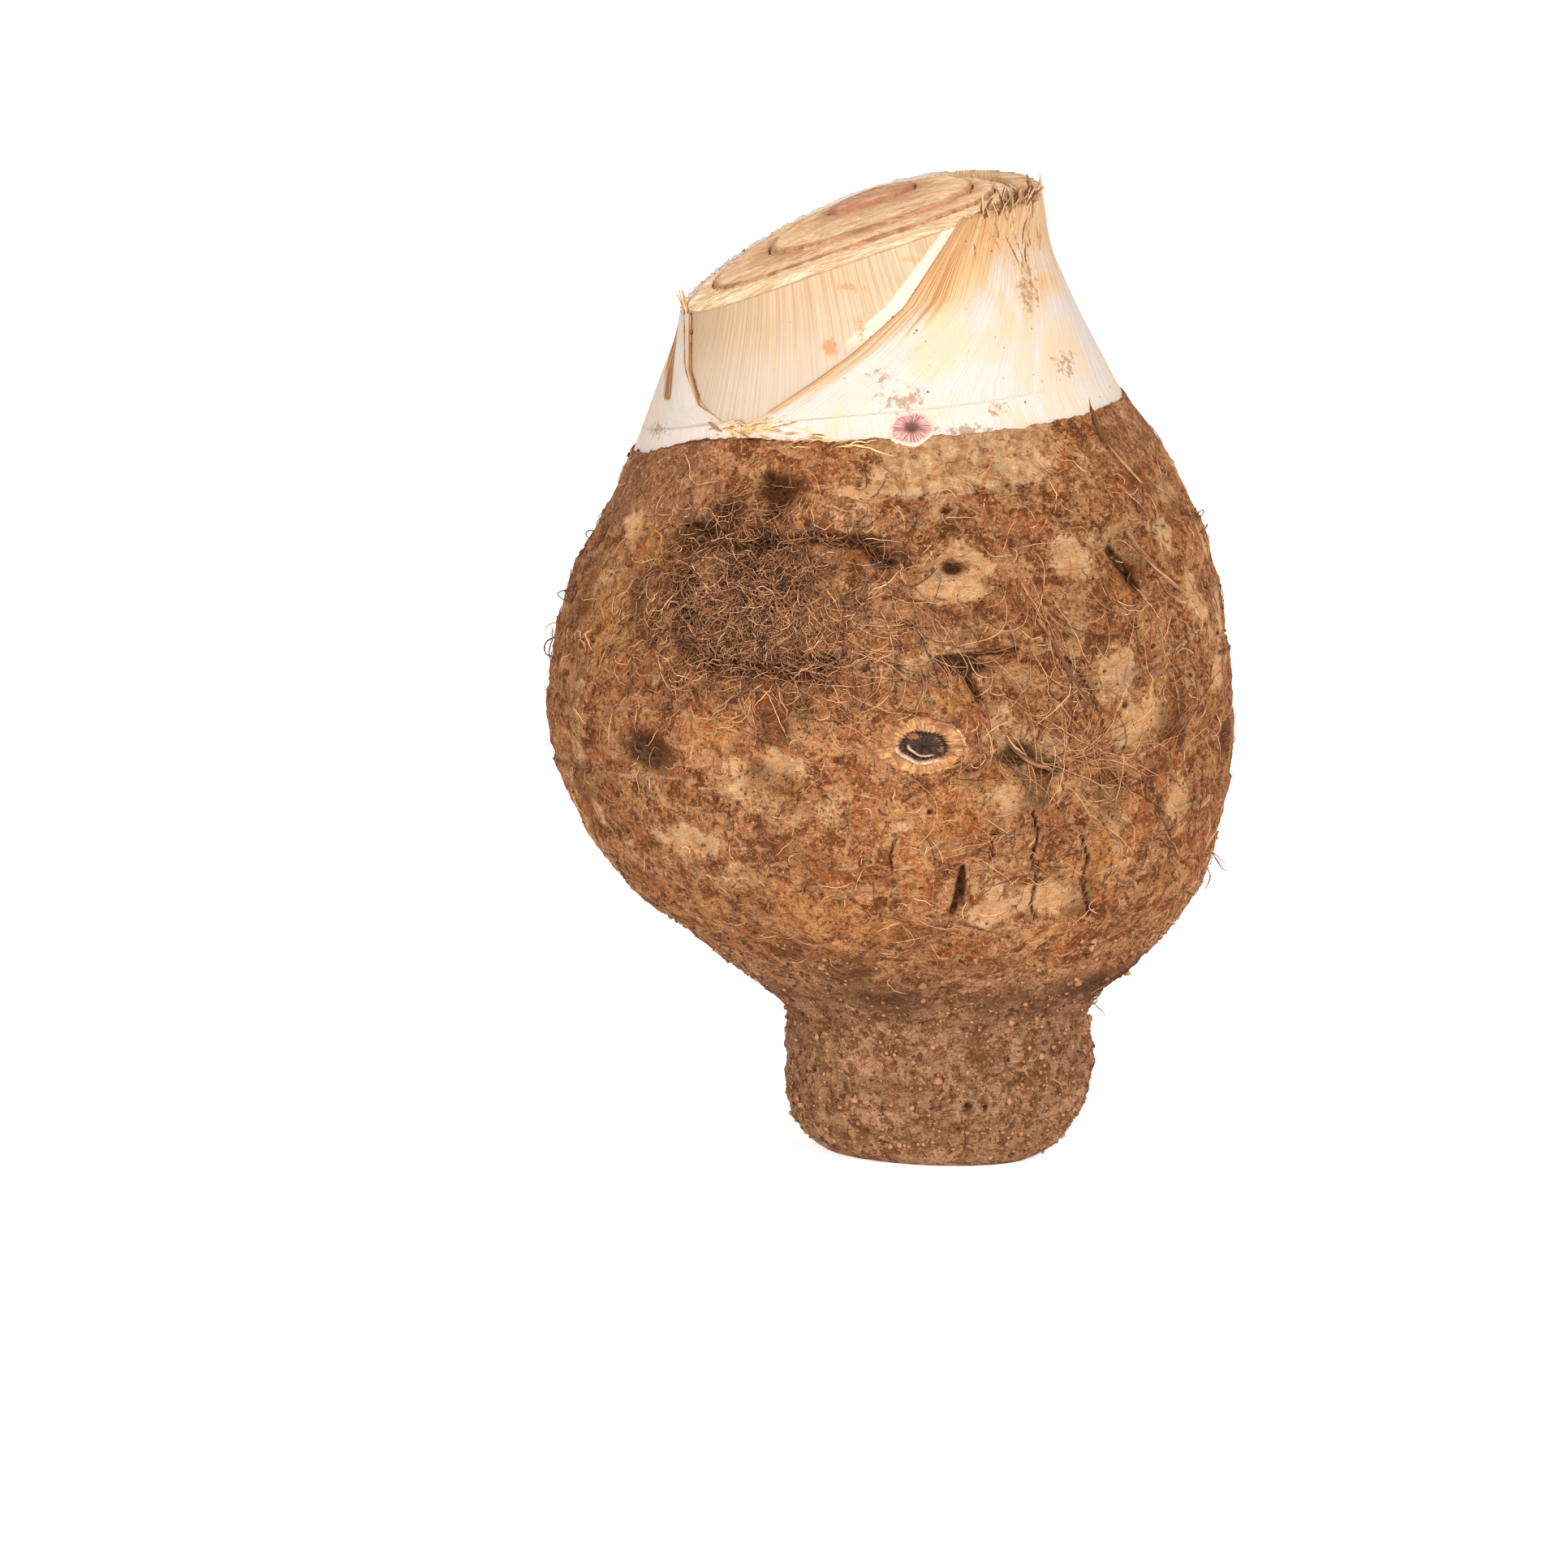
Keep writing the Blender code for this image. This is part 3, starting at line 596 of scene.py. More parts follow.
RIDGES = (  # short pale remnants of leaf scars: path of x and height, and half width
    (((46.5, 106.3), (52, 108.6), (58, 111.6), (62, 114)), 0.55),
    (((14, 109), (19.5, 110.4)), 0.5),
    (((30.4, 113.6), (35.5, 115.4)), 0.5),
    (((42, 66.8), (48.6, 70.2)), 0.55),
    (((34, 68.6), (38, 69.6)), 0.45),
    (((21.5, 96), (27.5, 97.2)), 0.5),
    (((-34, 120.6), (-27.5, 118.2)), 0.5),
    (((-8, 119), (-1, 120)), 0.5),
    (((-52, 124.4), (-47, 122)), 0.5),
    (((22, 81.4), (31, 82.6)), 0.45),
    (((38, 79.6), (44, 82.4)), 0.6),
    (((-40, 86), (-24, 84)), 0.5),
    (((-10, 70), (4, 70.4)), 0.5),
)
SMALL_SCARS = (  # little ringed scars of lost roots: x, y, z and radius
    (10.9, -53.6, 141, 2), (-6.5, -50.7, 145.9, 1.4), (-9.3, -63.9, 113.3, 1.1), (-5, -64.9, 110.7, 1.3),
    (16.2, -26.1, 14.1, 1.7), (19.6, -25.6, 14, 1.1), (30, -59.5, 93.5, 1.8), (47, -50, 101.5, 1.6),
    (21, -64.6, 94.5, 1.1), (35.5, -52.5, 125, 1.2), (51, -33, 137, 1.3), (26, -60, 108, 1.1),
    (8, -65.5, 82, 1.2), (40, -48, 84, 1.2), (-56, -32, 108, 1.5), (-24, 58, 90, 1.8),
    (34, 54, 108, 1.8), (62, 20, 94, 1.6), (10, 24, 18, 1.5), (-15, -14, 20, 1.4),
)
DARK_MAT_AND_SHADE = ((-27, -53, 126, 15, 15, 13),)  # the tangle of hairs at the front left, dark partly in its own colour and partly with painted shade in its hollow
EYE = (6.6, -66.2, 95.6)


def column_angles(count, closer):
    """Angles round the root, closer together at the front."""
    fine = np.linspace(0.0, TURN, 4001)
    density = 1.0 + closer * np.clip(-np.sin(fine), -0.35, 1.0)
    reach = np.concatenate(([0.0], np.cumsum(0.5 * (density[1:] + density[:-1]))))
    return np.interp(np.arange(count) / count, reach / reach[-1], fine)


def corm_base(rows, angles):
    """The smooth skin in mm over rows of nominal height, and those heights as a grid."""
    row = np.repeat(rows[:, None], len(angles), axis=1)
    angle = np.repeat(angles[None], len(rows), axis=0)
    lift = np.clip((row - SCARS[0]) / (SCARS[1] - SCARS[0]), 0.0, 1.0)
    top = np.clip((row - SCARS[-2]) / (SKIN["height"] - SCARS[-2]), 0.0, 1.0)
    z = row.copy()
    for _ in range(4):
        x, y = section(angle, z)
        z = row + (1.0 - top) * lift * SCAR_TILT * x + top * (skin_line(x) - SKIN["height"])
    return in_frame(*section(angle, z), z), row, angle, top


def scar_fields(points, row, top):
    """The ledges of the leaf scars, in mm, and how strongly each point lies on a pale scar line."""
    at = row + (1.5 * noise(points, 0.03, 31) + 0.5 * noise(points, 0.11, 32))
    whole = step(noise(points, 0.075, 33), 0.05, 0.45)
    faint = step(noise(points, 0.09, 34), 0.2, 0.45)
    ledge = np.zeros_like(row)
    line = np.zeros_like(row)
    for low, high in zip(SCARS, (*SCARS[1:], SKIN["height"])):
        share = np.clip((at - low) / (high - low), 0.0, 1.0)
        ledge += np.where((at >= low) & (at < high), share, 0.0) * SCAR_LEDGE
        line = np.maximum(line, 0.8 * bell(at - low - 0.2, 0.55))
    for low, high in zip(SCARS, SCARS[1:]):
        line = np.maximum(line, 0.8 * faint * bell(at - 0.5 * (low + high), 0.5))
    fade = (1.0 - top) * step(row, SCARS[0] - 6.0, SCARS[0])
    return ledge * fade, line * whole * fade


def skin_fields(points, row, top):
    """Masks of the skin's looks and the relief that goes with them, over points in mm."""
    x, y, z = np.moveaxis(points, -1, 0)
    front = step(-y, 5.0, 20.0)
    lumps = layered(points, 0.045, 3, 41)
    fine = layered(points, 0.32, 3, 42, 0.6)
    grooved = layered(points * np.array((1.0, 1.0, 0.28)), 0.3, 2, 43)
    pale = spots(points, PEELED, 1.15, 0.1 + 0.42 * step(layered(points, 0.07, 3, 44), 0.05, 0.75))
    rhomb = np.abs(x - 13.8) / 7.2 + np.abs(z - 130.2) / 5.8
    under = ((x - 11.8) / 7.4) ** 2 + ((z - 125.4) / 2.3) ** 2
    core = ((x - 12.6) / 2.9) ** 2 + ((z - 130.2) / 1.7) ** 2
    flaked = np.maximum(step(-rhomb, -1.15, -0.85), step(-under, -1.3, -0.8)) * step(-y, 20.0, 30.0)
    pale = np.maximum(pale, flaked * step(core, 0.8, 1.6))
    orange = spots(points, ORANGE, 1.0, 0.75 * step(layered(points, 0.04, 2, 45), 0.15, 0.7))
    dark = spots(points, DARK_PATCHES_AND_SHADE, 1.1, 0.5 * step(layered(points, 0.05, 3, 46), 0.05, 0.8))
    dark = spots(points, DARK_MAT_AND_SHADE, 0.95, dark)
    hairy = spots(points, HAIRY, 1.0, 0.45 + 0.4 * noise(points, 0.05, 47))
    below = z - skin_line(x - AXIS[0])
    sides = step(np.abs(x - 4.0), 36.0, 44.0) * front + (1.0 - front)
    band = step(below, -13.5, -11.5) * (0.25 + 0.75 * sides)
    strip = step(below, -11.0, -9.4) * step(x, -14.0, 2.0) * step(-x, -40.0, -26.0) * front
    knob = step(-z, -46.0, -30.0)
    upper = step(z, 40.0, 60.0)
    # Painted shade in the fold between the corm and its knob.
    painted_crease_shade = bell(z - 40.0, 6.0) * (0.8 + 0.8 * lumps)
    ledge, line = scar_fields(points, row, top)
    relief = ledge + 0.75 * lumps * (1.0 - 0.6 * top)
    relief += (0.26 + 0.26 * hairy + 0.26 * knob) * fine * (1.0 - 0.6 * band)
    relief += 0.16 * grooved * (1.0 - band)
    relief -= 0.4 * step(pale + 0.25 * fine, 0.5, 0.7) - 0.3 * line
    relief -= 0.5 * step(dark, 0.4, 1.0)
    relief += 0.35 * strip * (1.0 + fine) + 0.25 * band
    for path, width, depth in GROOVES:
        groove = near_path(points, path, width)
        relief -= depth * groove
        # Painted shade along the groove.
        dark = np.maximum(dark, 1.2 * groove)
    relief -= 2.2 * spot(points, (-24.0, -52.0, 131.0), (15.0, 14.0, 9.0))
    relief -= 1.6 * spot(points, (-33.0, -55.0, 113.0), (12.0, 12.0, 8.0))
    relief += 1.2 * spot(points, EYE, (12.0, 9.0, 7.5))
    eye = np.hypot((x - EYE[0]) / 7.9, (z - EYE[2]) / 5.5)
    relief -= 4.6 * step(-eye, -0.98, -0.75) * step(-y, 20.0, 30.0)
    relief -= 1.6 * spot(points, (12.6, -59.0, 130.4), (2.8, 6.0, 1.8))
    for path, width in RIDGES:
        ridge = near_path(points, path, width)
        relief += 0.35 * ridge
        line = np.maximum(line, 0.95 * ridge)
    for *centre, radius in SMALL_SCARS:
        away = np.linalg.norm(points - np.array(centre), axis=-1) / radius
        relief += 0.55 * bell(away - 1.0, 0.42) - 0.6 * bell(away, 0.55)
        line = np.maximum(line, 0.75 * bell(away - 1.05, 0.35))
        # Painted shade in the scar's pit.
        dark = np.maximum(dark, 1.1 * bell(away, 0.6))
    strip_line = bell(below + 10.2, 0.6) * step(x, -8.0, 6.0) * step(-x, -46.0, -34.0)
    return {
        "pale": np.clip(pale * upper, 0.0, 1.2),
        "orange": np.clip(orange * (1.0 - band) * (0.3 + 0.7 * upper), 0.0, 1.0),
        # dark: the skin's own dark patches, with painted shade in its hollows, grooves and scar pits, over
        # the knob under the corm's belly, and in the fold above the knob.
        "dark": np.clip(np.maximum(dark, 0.3 * knob + 0.45 * painted_crease_shade) * (1.0 - 0.7 * band), 0.0, 1.2),
        "scar": np.clip(np.maximum(line, 0.9 * strip_line * front), 0.0, 1.0),
        "smooth": band * (1.0 - strip),
        "tan": 0.8 * strip,
        "hairy": np.clip(hairy + 0.4 * knob, 0.0, 1.0) * (1.0 - band),
        "cracked": step(-z, -96.0, -76.0) * (1.0 - 0.5 * knob),
        "knob": step(-z, -50.0, -34.0),
    }, relief


def skin_lip(points, angle):
    """How far the ragged top edge of the skin laps up over the leaf base, in mm."""
    ragged = 0.6 * noise(points, 0.1, 51) + 0.3 * noise(points, 0.45, 52) + 0.15 * noise(points, 1.1, 53)
    return np.clip(0.7 + ragged + 2.0 * bell(angle - math.radians(226.0), 0.3), 0.15, 3.4)


def corm_skin(material):
    """The corm's skin with all its relief, closed under the foot and over the top."""
    rows = np.linspace(0.0, SKIN["height"], CORM_ROWS)
    base, row, angle, top = corm_base(rows, column_angles(CORM_COLUMNS, FRONT_COLUMNS))
    masks, relief = skin_fields(base, row, top)
    skin = base + grid_normals(base) * (relief * step(base[..., 2], 0.0, 5.0))[..., None]
    skin[..., 2] = np.maximum(skin[..., 2], 0.0)
    skin[0, :, 2] = 0.0
    middle = base[0].mean(axis=0)
    foot = [middle + (base[0] - middle) * share for share in (0.15, 0.45, 0.75)]
    edge = skin[-1]
    lip = skin_lip(edge, angle[-1])
    over = []
    for share, out in ((0.5, 0.35), (1.0, 0.1)):
        z = edge[:, 2] + lip * share
        point = in_frame(*section(angle[-1], z), z)
        point[:, :2] += unit(point[:, :2]) * out
        over.append(point)
    x, y = section(angle[-1], edge[:, 2])
    for share in (0.985, 0.9, 0.5, 0.02):
        over.append(in_frame(x * share, y * share, skin_line(x * share) - 0.35))
    points = np.concatenate((foot, skin, over))
    more = ((len(foot), len(over)), (0, 0))
    spread = {key: np.pad(values, more, "edge").ravel() for key, values in masks.items()}
    faces = capped(len(points), CORM_COLUMNS)
    return mesh_object("corm_skin", points.reshape(-1, 3) * MM, faces, spread, material)


# ---------------------------------------------------------------- leaf bases

def crown_angle(x, z):
    """The angle on the front of the outline where its x is reached at a height."""
    left, right = LEFT_AT(z), RIGHT_AT(z)
    return TURN - np.arccos(np.clip((x - 0.5 * (left + right)) / (0.5 * (right - left)), -1.0, 1.0))


def slab(name, outer, inner, attributes, material):
    """A closed sheet with thickness, from two open grids of points in metres with matching edges."""
    rows, columns, _ = outer.shape
    size = rows * columns
    front = grid_faces(rows, columns, False)
    index = np.arange(size).reshape(rows, columns)
    ring = np.concatenate((index[0, :-1], index[:-1, -1], index[-1, :0:-1], index[:0:-1, 0]))
    after = np.roll(ring, -1)
    sides = np.stack((after, ring, ring + size, after + size), axis=-1)
    faces = split(np.concatenate((front, front[:, ::-1] + size, sides)))
    spread = {}
    for key, values in attributes.items():
        values = values.reshape(size, *values.shape[2:])
        spread[key] = np.concatenate((values, values))
    return mesh_object(name, np.concatenate((outer, inner)).reshape(-1, 3), faces, spread, material)


SHEATH_SOIL = (  # where specks of soil gather on the outer leaf base
    (-2, -39, 166.5, 4, 6, 2.5), (21, -38, 160, 4, 6, 2.5), (28, -22, 184, 4, 8, 9), (2.5, -42, 162, 8, 6, 5),
    (14, -44, 156, 14, 6, 2), (36, -24, 168, 5, 8, 5), (-26, -38, 157.4, 9, 6, 1.5), (-47, -16, 153, 5, 8, 3),
    (0, 40, 166, 16, 9, 8), (40, 12, 166, 9, 12, 8), (-40, 22, 164, 9, 12, 8), (20, -17, 194, 6, 9, 7),
)
SLIT = ((-45, 177), (-46.6, 160))  # a tear in the outer leaf base at the left


def outer_sheath(material, columns=460, rows=96):
    """The outermost leaf base: one sheet from its left edge round the back to its slanting right edge."""
    u = np.linspace(0.0, 1.0, columns)
    v, u = np.meshgrid(np.linspace(0.0, 1.0, rows) ** 1.25, u - 0.045 * np.sin(TURN * u), indexing="ij")
    z = 155.0 + 35.0 * v
    first_high = crown_angle(np.interp(175.0, *WINDOW_LEFT.T), 175.0)
    last_high = crown_angle(np.interp(175.0, *WINDOW_RIGHT.T), 175.0)
    for _ in range(12):
        first = crown_angle(np.interp(z[:, :1], *WINDOW_LEFT.T), z[:, :1])
        last = crown_angle(np.interp(z[:, -1:], *WINDOW_RIGHT.T), z[:, -1:])
        angle = first_high - u * (first_high + TURN - last_high)
        angle = angle + (first - first_high) * (1.0 - u) ** 5 + (last - last_high) * u**5
        x, y = section(angle, z)
        low = skin_line(x) + 0.3
        z = low + v * (cut_height(x, y) - low)
    under = LAYERS["second_leaf_sheath"][0]
    x, y = section(angle, z)
    from_right = np.hypot(x - x[:, -1:], y - y[:, -1:])
    from_left = np.hypot(x - x[:, :1], y - y[:, :1])
    film = (1.0 - step(np.minimum(from_right * 0.75, from_left * 1.4), 0.0, 9.0)) * step(v, 0.0, 0.04)
    swell = noise(np.stack((x, y, z), axis=-1), 0.05, 61)
    lines = noise(np.stack((u * 330.0, z * 0.03, u * 0.0), axis=-1), 0.9, 62)
    relief = (1.0 - film) * 0.35 - 0.25 * swell * (1.0 - film) - 0.06 * lines
    torn = 0.5 * noise(np.stack((u * 500.0, u * 0.0, u * 0.0), axis=-1), 0.5, 63) * step(v, 0.97, 1.0)
    insets = [film * max(depth - 0.55, 0.0) + relief for depth in under]
    outer = in_frame(*section(angle, z, insets), z + torn) * MM
    inner = in_frame(*section(angle, z, [depth - 0.12 for depth in under]), z + torn) * MM
    slit = near_path(np.stack((x + AXIS[0], y - 9.0, z), axis=-1), SLIT, 1.0)
    outer[..., :2] *= (1.0 - 0.016 * slit)[..., None]
    top_right = step(z, 168.0, 198.0) * step(x, 0.0, 16.0)
    by_right = step(-from_right, -18.0, -5.0) * step(z, 165.0, 185.0)
    margin = np.clip(1.25 - from_right / (3.2 + 0.27 * (z - 156.0)), 0.0, 1.0)
    brown = np.clip(1.0 - from_left / 1.6, 0.0, 1.0) * step(z, 156.0, 160.0) * step(-y, -2.0, 2.0)
    return slab("outer_sheath_stalk", outer, inner, {
        "flow": np.stack((u * 0.23, z * MM, u * 0.0), axis=-1),
        "tan": np.clip(0.8 * top_right + 0.45 * by_right, 0.0, 1.0),
        "margin": margin * step(z, 156.5, 160.0) * step(-y, 0.0, 6.0),
        "soil": spots(in_frame(x, y, z), SHEATH_SOIL, 0.85),
        "brown": np.clip(brown + slit, 0.0, 1.0),
    }, material)


STAINS = (  # brown marks on the second leaf base: strength, place and half sizes
    (1.2, (-12.4, -36.5, 171.9), (2.2, 6.0, 1.8)), (0.8, (-6.0, -34.0, 176.0), (1.6, 6.0, 4.0)),
    (0.7, (-8.0, -33.0, 184.0), (5.0, 6.0, 1.6)), (0.7, (4.0, -30.0, 189.5), (5.0, 6.0, 1.6)),
)


def leaf_base(order, columns, wall_rows, face_rows, material):
    """A nested leaf base: its outside wall, rounded edge and cut face, and its inside wall."""
    name = LAYER_NAMES[order]
    inset, raised = LAYERS[name]
    solid = order == len(LAYER_NAMES) - 1
    angle = column_angles(columns, 0.6)[None]

    def wall(share, sides):
        z = np.full((len(share), columns), 175.0)
        for _ in range(10):
            x, y = section(angle, z, sides)
            low = skin_line(x) + 0.3
            z = low + share * (cut_height(x, y) + raised - low)
        return np.stack((x, y, z), axis=-1)

    shares = np.concatenate((np.linspace(0.0, 0.9, wall_rows - 8), np.linspace(0.92, 0.988, 8)))[:, None]
    across = np.linspace(0.02, 1.0 if solid else 0.98, face_rows)[:, None]
    edge = wall(np.ones((1, 1)), inset)
    inside = np.empty((0, columns, 3))
    if solid:
        flat = edge + (edge.mean(axis=(0, 1)) - edge) * across[..., None] * 0.98
    else:
        under = tuple(side - 0.25 for side in LAYERS[LAYER_NAMES[order + 1]][0])
        flat = edge + (wall(np.ones((1, 1)), under) - edge) * across[..., None]
        inside = wall(np.linspace(0.97, 0.0, 7)[:, None], under)
    flat[..., 2] = 0.0
    crest = 0.35 * np.sin(math.pi * np.clip(across, 0.0, 1.0)) ** 0.5
    hacked = 0.45 * layered(flat * np.array((0.35, 1.0, 1.0)), 0.16, 3, 70 + order)
    hacked = (hacked + 0.22 * noise(flat, 0.8, 80 + order)) * step(across, 0.0, 0.15)
    flat[..., 2] = cut_height(flat[..., 0], flat[..., 1]) + raised - 0.35 + crest + hacked
    points = np.concatenate((wall(shares, inset), flat, inside))
    rows = len(points)

    def by_part(outside, face):
        """One value a row: given for the outside wall and the cut face, and 1 for the inside wall."""
        values = np.ones((rows, 1))
        values[:wall_rows] = outside
        values[wall_rows:wall_rows + face_rows] = face
        return values * np.ones(columns)

    cut = by_part(0.0, 1.0)
    rim = by_part(step(shares, 0.955, 0.985), np.exp(-across / RIM_WIDTHS[order]))
    rim *= 0.35 if order == 1 else 1.0
    inward = by_part(0.0, across)
    centred = points + np.array((*AXIS, 0.0))
    x, _, z = np.moveaxis(centred, -1, 0)
    arc = np.cumsum(np.linalg.norm(np.gradient(centred[:, :, :2], axis=1), axis=-1), axis=1)
    arc = np.where(cut > 0.5, arc, arc[:1])
    lean = 0.22 * (z - 152.0) * step(x, -40.0, 5.0)
    masks = {
        "browned": 0.45 * inward**2 * (order < 4) + 0.42 * (order in (2, 3)),
        "flow": np.stack(((arc + lean) * MM, z * MM, arc * 0.0), axis=-1).reshape(-1, 3),
        "cut": cut,
        "rim": np.clip(rim, 0.0, 1.0),
    }
    if order == 1:
        edge_x = np.interp(z, *WINDOW_RIGHT.T) + AXIS[0]
        masks["strip"] = step(x - edge_x, -8.0, -5.0) * step(z, 166.0, 180.0)
        masks["upper"] = step(z - 0.3 * x, 166.0, 188.0)
        masks["stain"] = np.maximum.reduce([share * spot(centred, *place) for share, *place in STAINS])
    masks = {key: values if key == "flow" else values.ravel() for key, values in masks.items()}
    faces = capped(rows, columns) if solid else split(grid_faces(rows, columns, True, True))
    return mesh_object(f"{name}_flesh", centred.reshape(-1, 3) * MM, faces, masks, material)


# ---------------------------------------------------------------- fibres, roots, buds and soil

def surface_tree(*things):
    """A search tree over the triangles of several pieces."""
    points = []
    faces = []
    first = 0
    for thing in things:
        data = thing.data
        co = np.empty(len(data.vertices) * 3)
        data.vertices.foreach_get("co", co)
        corners = np.empty(len(data.loops), np.int32)
        data.loops.foreach_get("vertex_index", corners)
        points.append(co.reshape(-1, 3))
        faces.append(corners.reshape(-1, 3) + first)
        first += len(data.vertices)
    return BVHTree.FromPolygons(np.concatenate(points).tolist(), np.concatenate(faces).tolist())


def snapped(tree, point):
    """The nearest place on the surface and its normal."""
    place, normal, _index, _distance = tree.find_nearest(Vector(point))
    return np.array(place), np.array(normal)


def in_front(tree, x, z):
    """The frontmost place at an x and height in mm, in metres."""
    hit = tree.ray_cast(Vector((x * MM, -0.2, z * MM)), Vector((0.0, 1.0, 0.0)))[0]
    return np.array(hit) if hit is not None else np.array((x * MM, -0.04, z * MM))


def flat_on(normal, heading):
    """A heading turned to lie along the surface."""
    return unit(heading - normal * (heading @ normal), 1e-9)


def lying_hairs(tree, starts, headings, lengths, steps, wander, lift, rng):
    """Paths that follow the surface from each start, wandering, raised by a little arch."""
    paths = np.empty((len(starts), steps, 3))
    for i, (start, heading, length) in enumerate(zip(starts, headings, lengths)):
        here, normal = snapped(tree, start)
        heading = flat_on(normal, heading)
        bend = rng.normal(0.0, wander)
        arch = lift * rng.uniform(0.2, 1.0)
        for k in range(steps):
            paths[i, k] = here + normal * (0.00012 + arch * math.sin(math.pi * k / (steps - 1)))
            turn = bend + rng.normal(0.0, wander)
            heading = heading * math.cos(turn) + np.cross(normal, heading) * math.sin(turn)
            here, normal = snapped(tree, here + heading * length / (steps - 1))
            heading = flat_on(normal, heading)
    return paths


def tapered(steps, radii, ends):
    """Radii along each of many hairs, thinner at the ends."""
    along = np.linspace(-1.0, 1.0, steps)
    return np.asarray(radii)[:, None] * (1.0 - (1.0 - ends) * np.abs(along)[None] ** 3)


BUNDLES = (  # combed hairs: path of x and height over the front, how many, spread, length
    (((-22, 134), (-12, 126), (-4, 116), (4, 106)), 60, 6, 16),
    (((-36, 126), (-28, 116), (-18, 109), (-8, 105)), 90, 6, 14),
    (((-5, 132), (6, 120), (14, 108), (19, 98)), 50, 4.5, 16),
    (((22, 132), (28, 122), (33, 111), (37, 101), (44, 91)), 70, 3.6, 18),
    (((17, 116), (22, 106), (30, 97), (42, 90)), 60, 3.2, 16),
    (((16, 101), (22, 94.5), (30, 90.5), (40, 89.5), (52, 91)), 46, 2, 18),
    (((22, 91), (32, 86.5), (44, 86), (56, 89), (66, 94)), 18, 1.2, 26),
    (((-20, 128), (-20.5, 120), (-21, 112)), 40, 7, 12),
    (((40, 84), (50, 76), (58, 68)), 20, 4, 14),
    (((46, 128), (52, 116), (56, 104)), 24, 3.5, 14),
    (((2, 88), (10, 80), (22, 74), (36, 70)), 26, 5, 12),
)


def combed(tree, rng):
    """Starts, headings and lengths of the hairs that lie in bundles over the front."""
    starts, headings, lengths = [], [], []
    for path, count, spread, length in BUNDLES:
        path = np.array(path)
        reach = reach_along(path)
        for _ in range(count):
            at = rng.uniform(0.0, reach[-1])
            x, z = (np.interp(at, reach, path[:, side]) for side in (0, 1))
            beyond = min(at + 2.0, reach[-1])
            ahead = [np.interp(beyond, reach, path[:, side]) - here for side, here in ((0, x), (1, z))]
            if math.hypot(*ahead) < 0.1:
                ahead = path[-1] - path[-2]
            across = rng.normal(0.0, spread)
            size = math.hypot(*ahead)
            starts.append(in_front(tree, x - ahead[1] / size * across, z + ahead[0] / size * across))
            headings.append(np.array((ahead[0], 0.0, ahead[1])) / size)
            lengths.append(length * rng.uniform(0.5, 1.3) * MM)
    return np.array(starts), np.array(headings), np.array(lengths)


def scattered(count, rng, low, high, density):
    """Random places on the outline between two heights, kept as often as density says."""
    places = []
    while len(places) < count:
        angle = rng.uniform(0.0, TURN)
        z = rng.uniform(low, high)
        if rng.uniform() <= density(angle, z):
            places.append(in_frame(*section(angle, np.array(z)), np.array(z)) * MM)
    return np.array(places)


def front_more(angle, z):
    """Density that is higher at the front."""
    return 0.45 + 0.55 * max(0.0, -math.sin(angle))


def front_above(angle, z):
    """As front_more, with few hairs below the corm's shoulder."""
    return front_more(angle, z) * (0.12 if z < 48.0 else 1.0)


def matted(angle, z):
    """Density of the tangled hairs: most in the hollow at the front left, some behind."""
    density = []
    for degrees, height, width, reach in ((243.0, 122.0, 0.34, 15.0), (118.0, 116.0, 0.4, 16.0)):
        away = (angle - math.radians(degrees) + math.pi) % TURN - math.pi
        density.append(math.exp(-((away / width) ** 2) - ((z - height) / reach) ** 2))
    return max(density[0], 0.4 * density[1])


def any_heading(count, rng, downward=0.0):
    """Random headings, drawn downwards."""
    heading = rng.normal(size=(count, 3))
    heading[:, 2] -= downward
    return unit(heading)


# Name; count, lowest, highest, density, droop and lengths; share of pale hairs; points; pale and dark style
HAIR_SETS = (
    ("combed", None, 0.62, 12, (0.1, 0.0005, 0.000062), (0.1, 0.0004, 0.000085)),
    ("tangled", (2500, 100.0, 146.0, matted, 1.2, 3.0, 11.0), 0.35, 9,
     (0.2, 0.001, 0.00006), (0.26, 0.0012, 0.00009)),
    ("scattered", (1700, 8.0, 150.0, front_above, 0.3, 2.0, 9.0), 0.6, 7,
     (0.26, 0.0004, 0.00007), (0.26, 0.0004, 0.00009)),
)


def all_hairs(tree, light, dark):
    """Every fine root hair, in a pale and a dark piece of each set; a style is wander, arch and radius."""
    rng = np.random.default_rng(21)
    made = []
    for name, growth, share, steps, *styles in HAIR_SETS:
        if growth:
            count, low, high, density, droop, *reach = growth
            starts = scattered(count, rng, low, high, density)
            headings = any_heading(count, rng, droop)
            lengths = rng.uniform(*reach, count) * MM
        else:
            starts, headings, lengths = combed(tree, rng)
        pale = rng.uniform(size=len(starts)) < share
        kinds = zip(("pale", "dark"), (pale, ~pale), (light, dark), styles)
        for tone, pick, material, (wander, lift, radius) in kinds:
            paths = lying_hairs(tree, starts[pick], headings[pick], lengths[pick], steps, wander, lift, rng)
            count = len(paths)
            radii = tapered(steps, radius * rng.uniform(0.6, 1.4, count), 0.35)
            tones = rng.uniform(0.0, 1.0, count)
            made.append(tubes(f"hairs_{name}_{tone}", paths, radii, 3, tones, material))
    return made


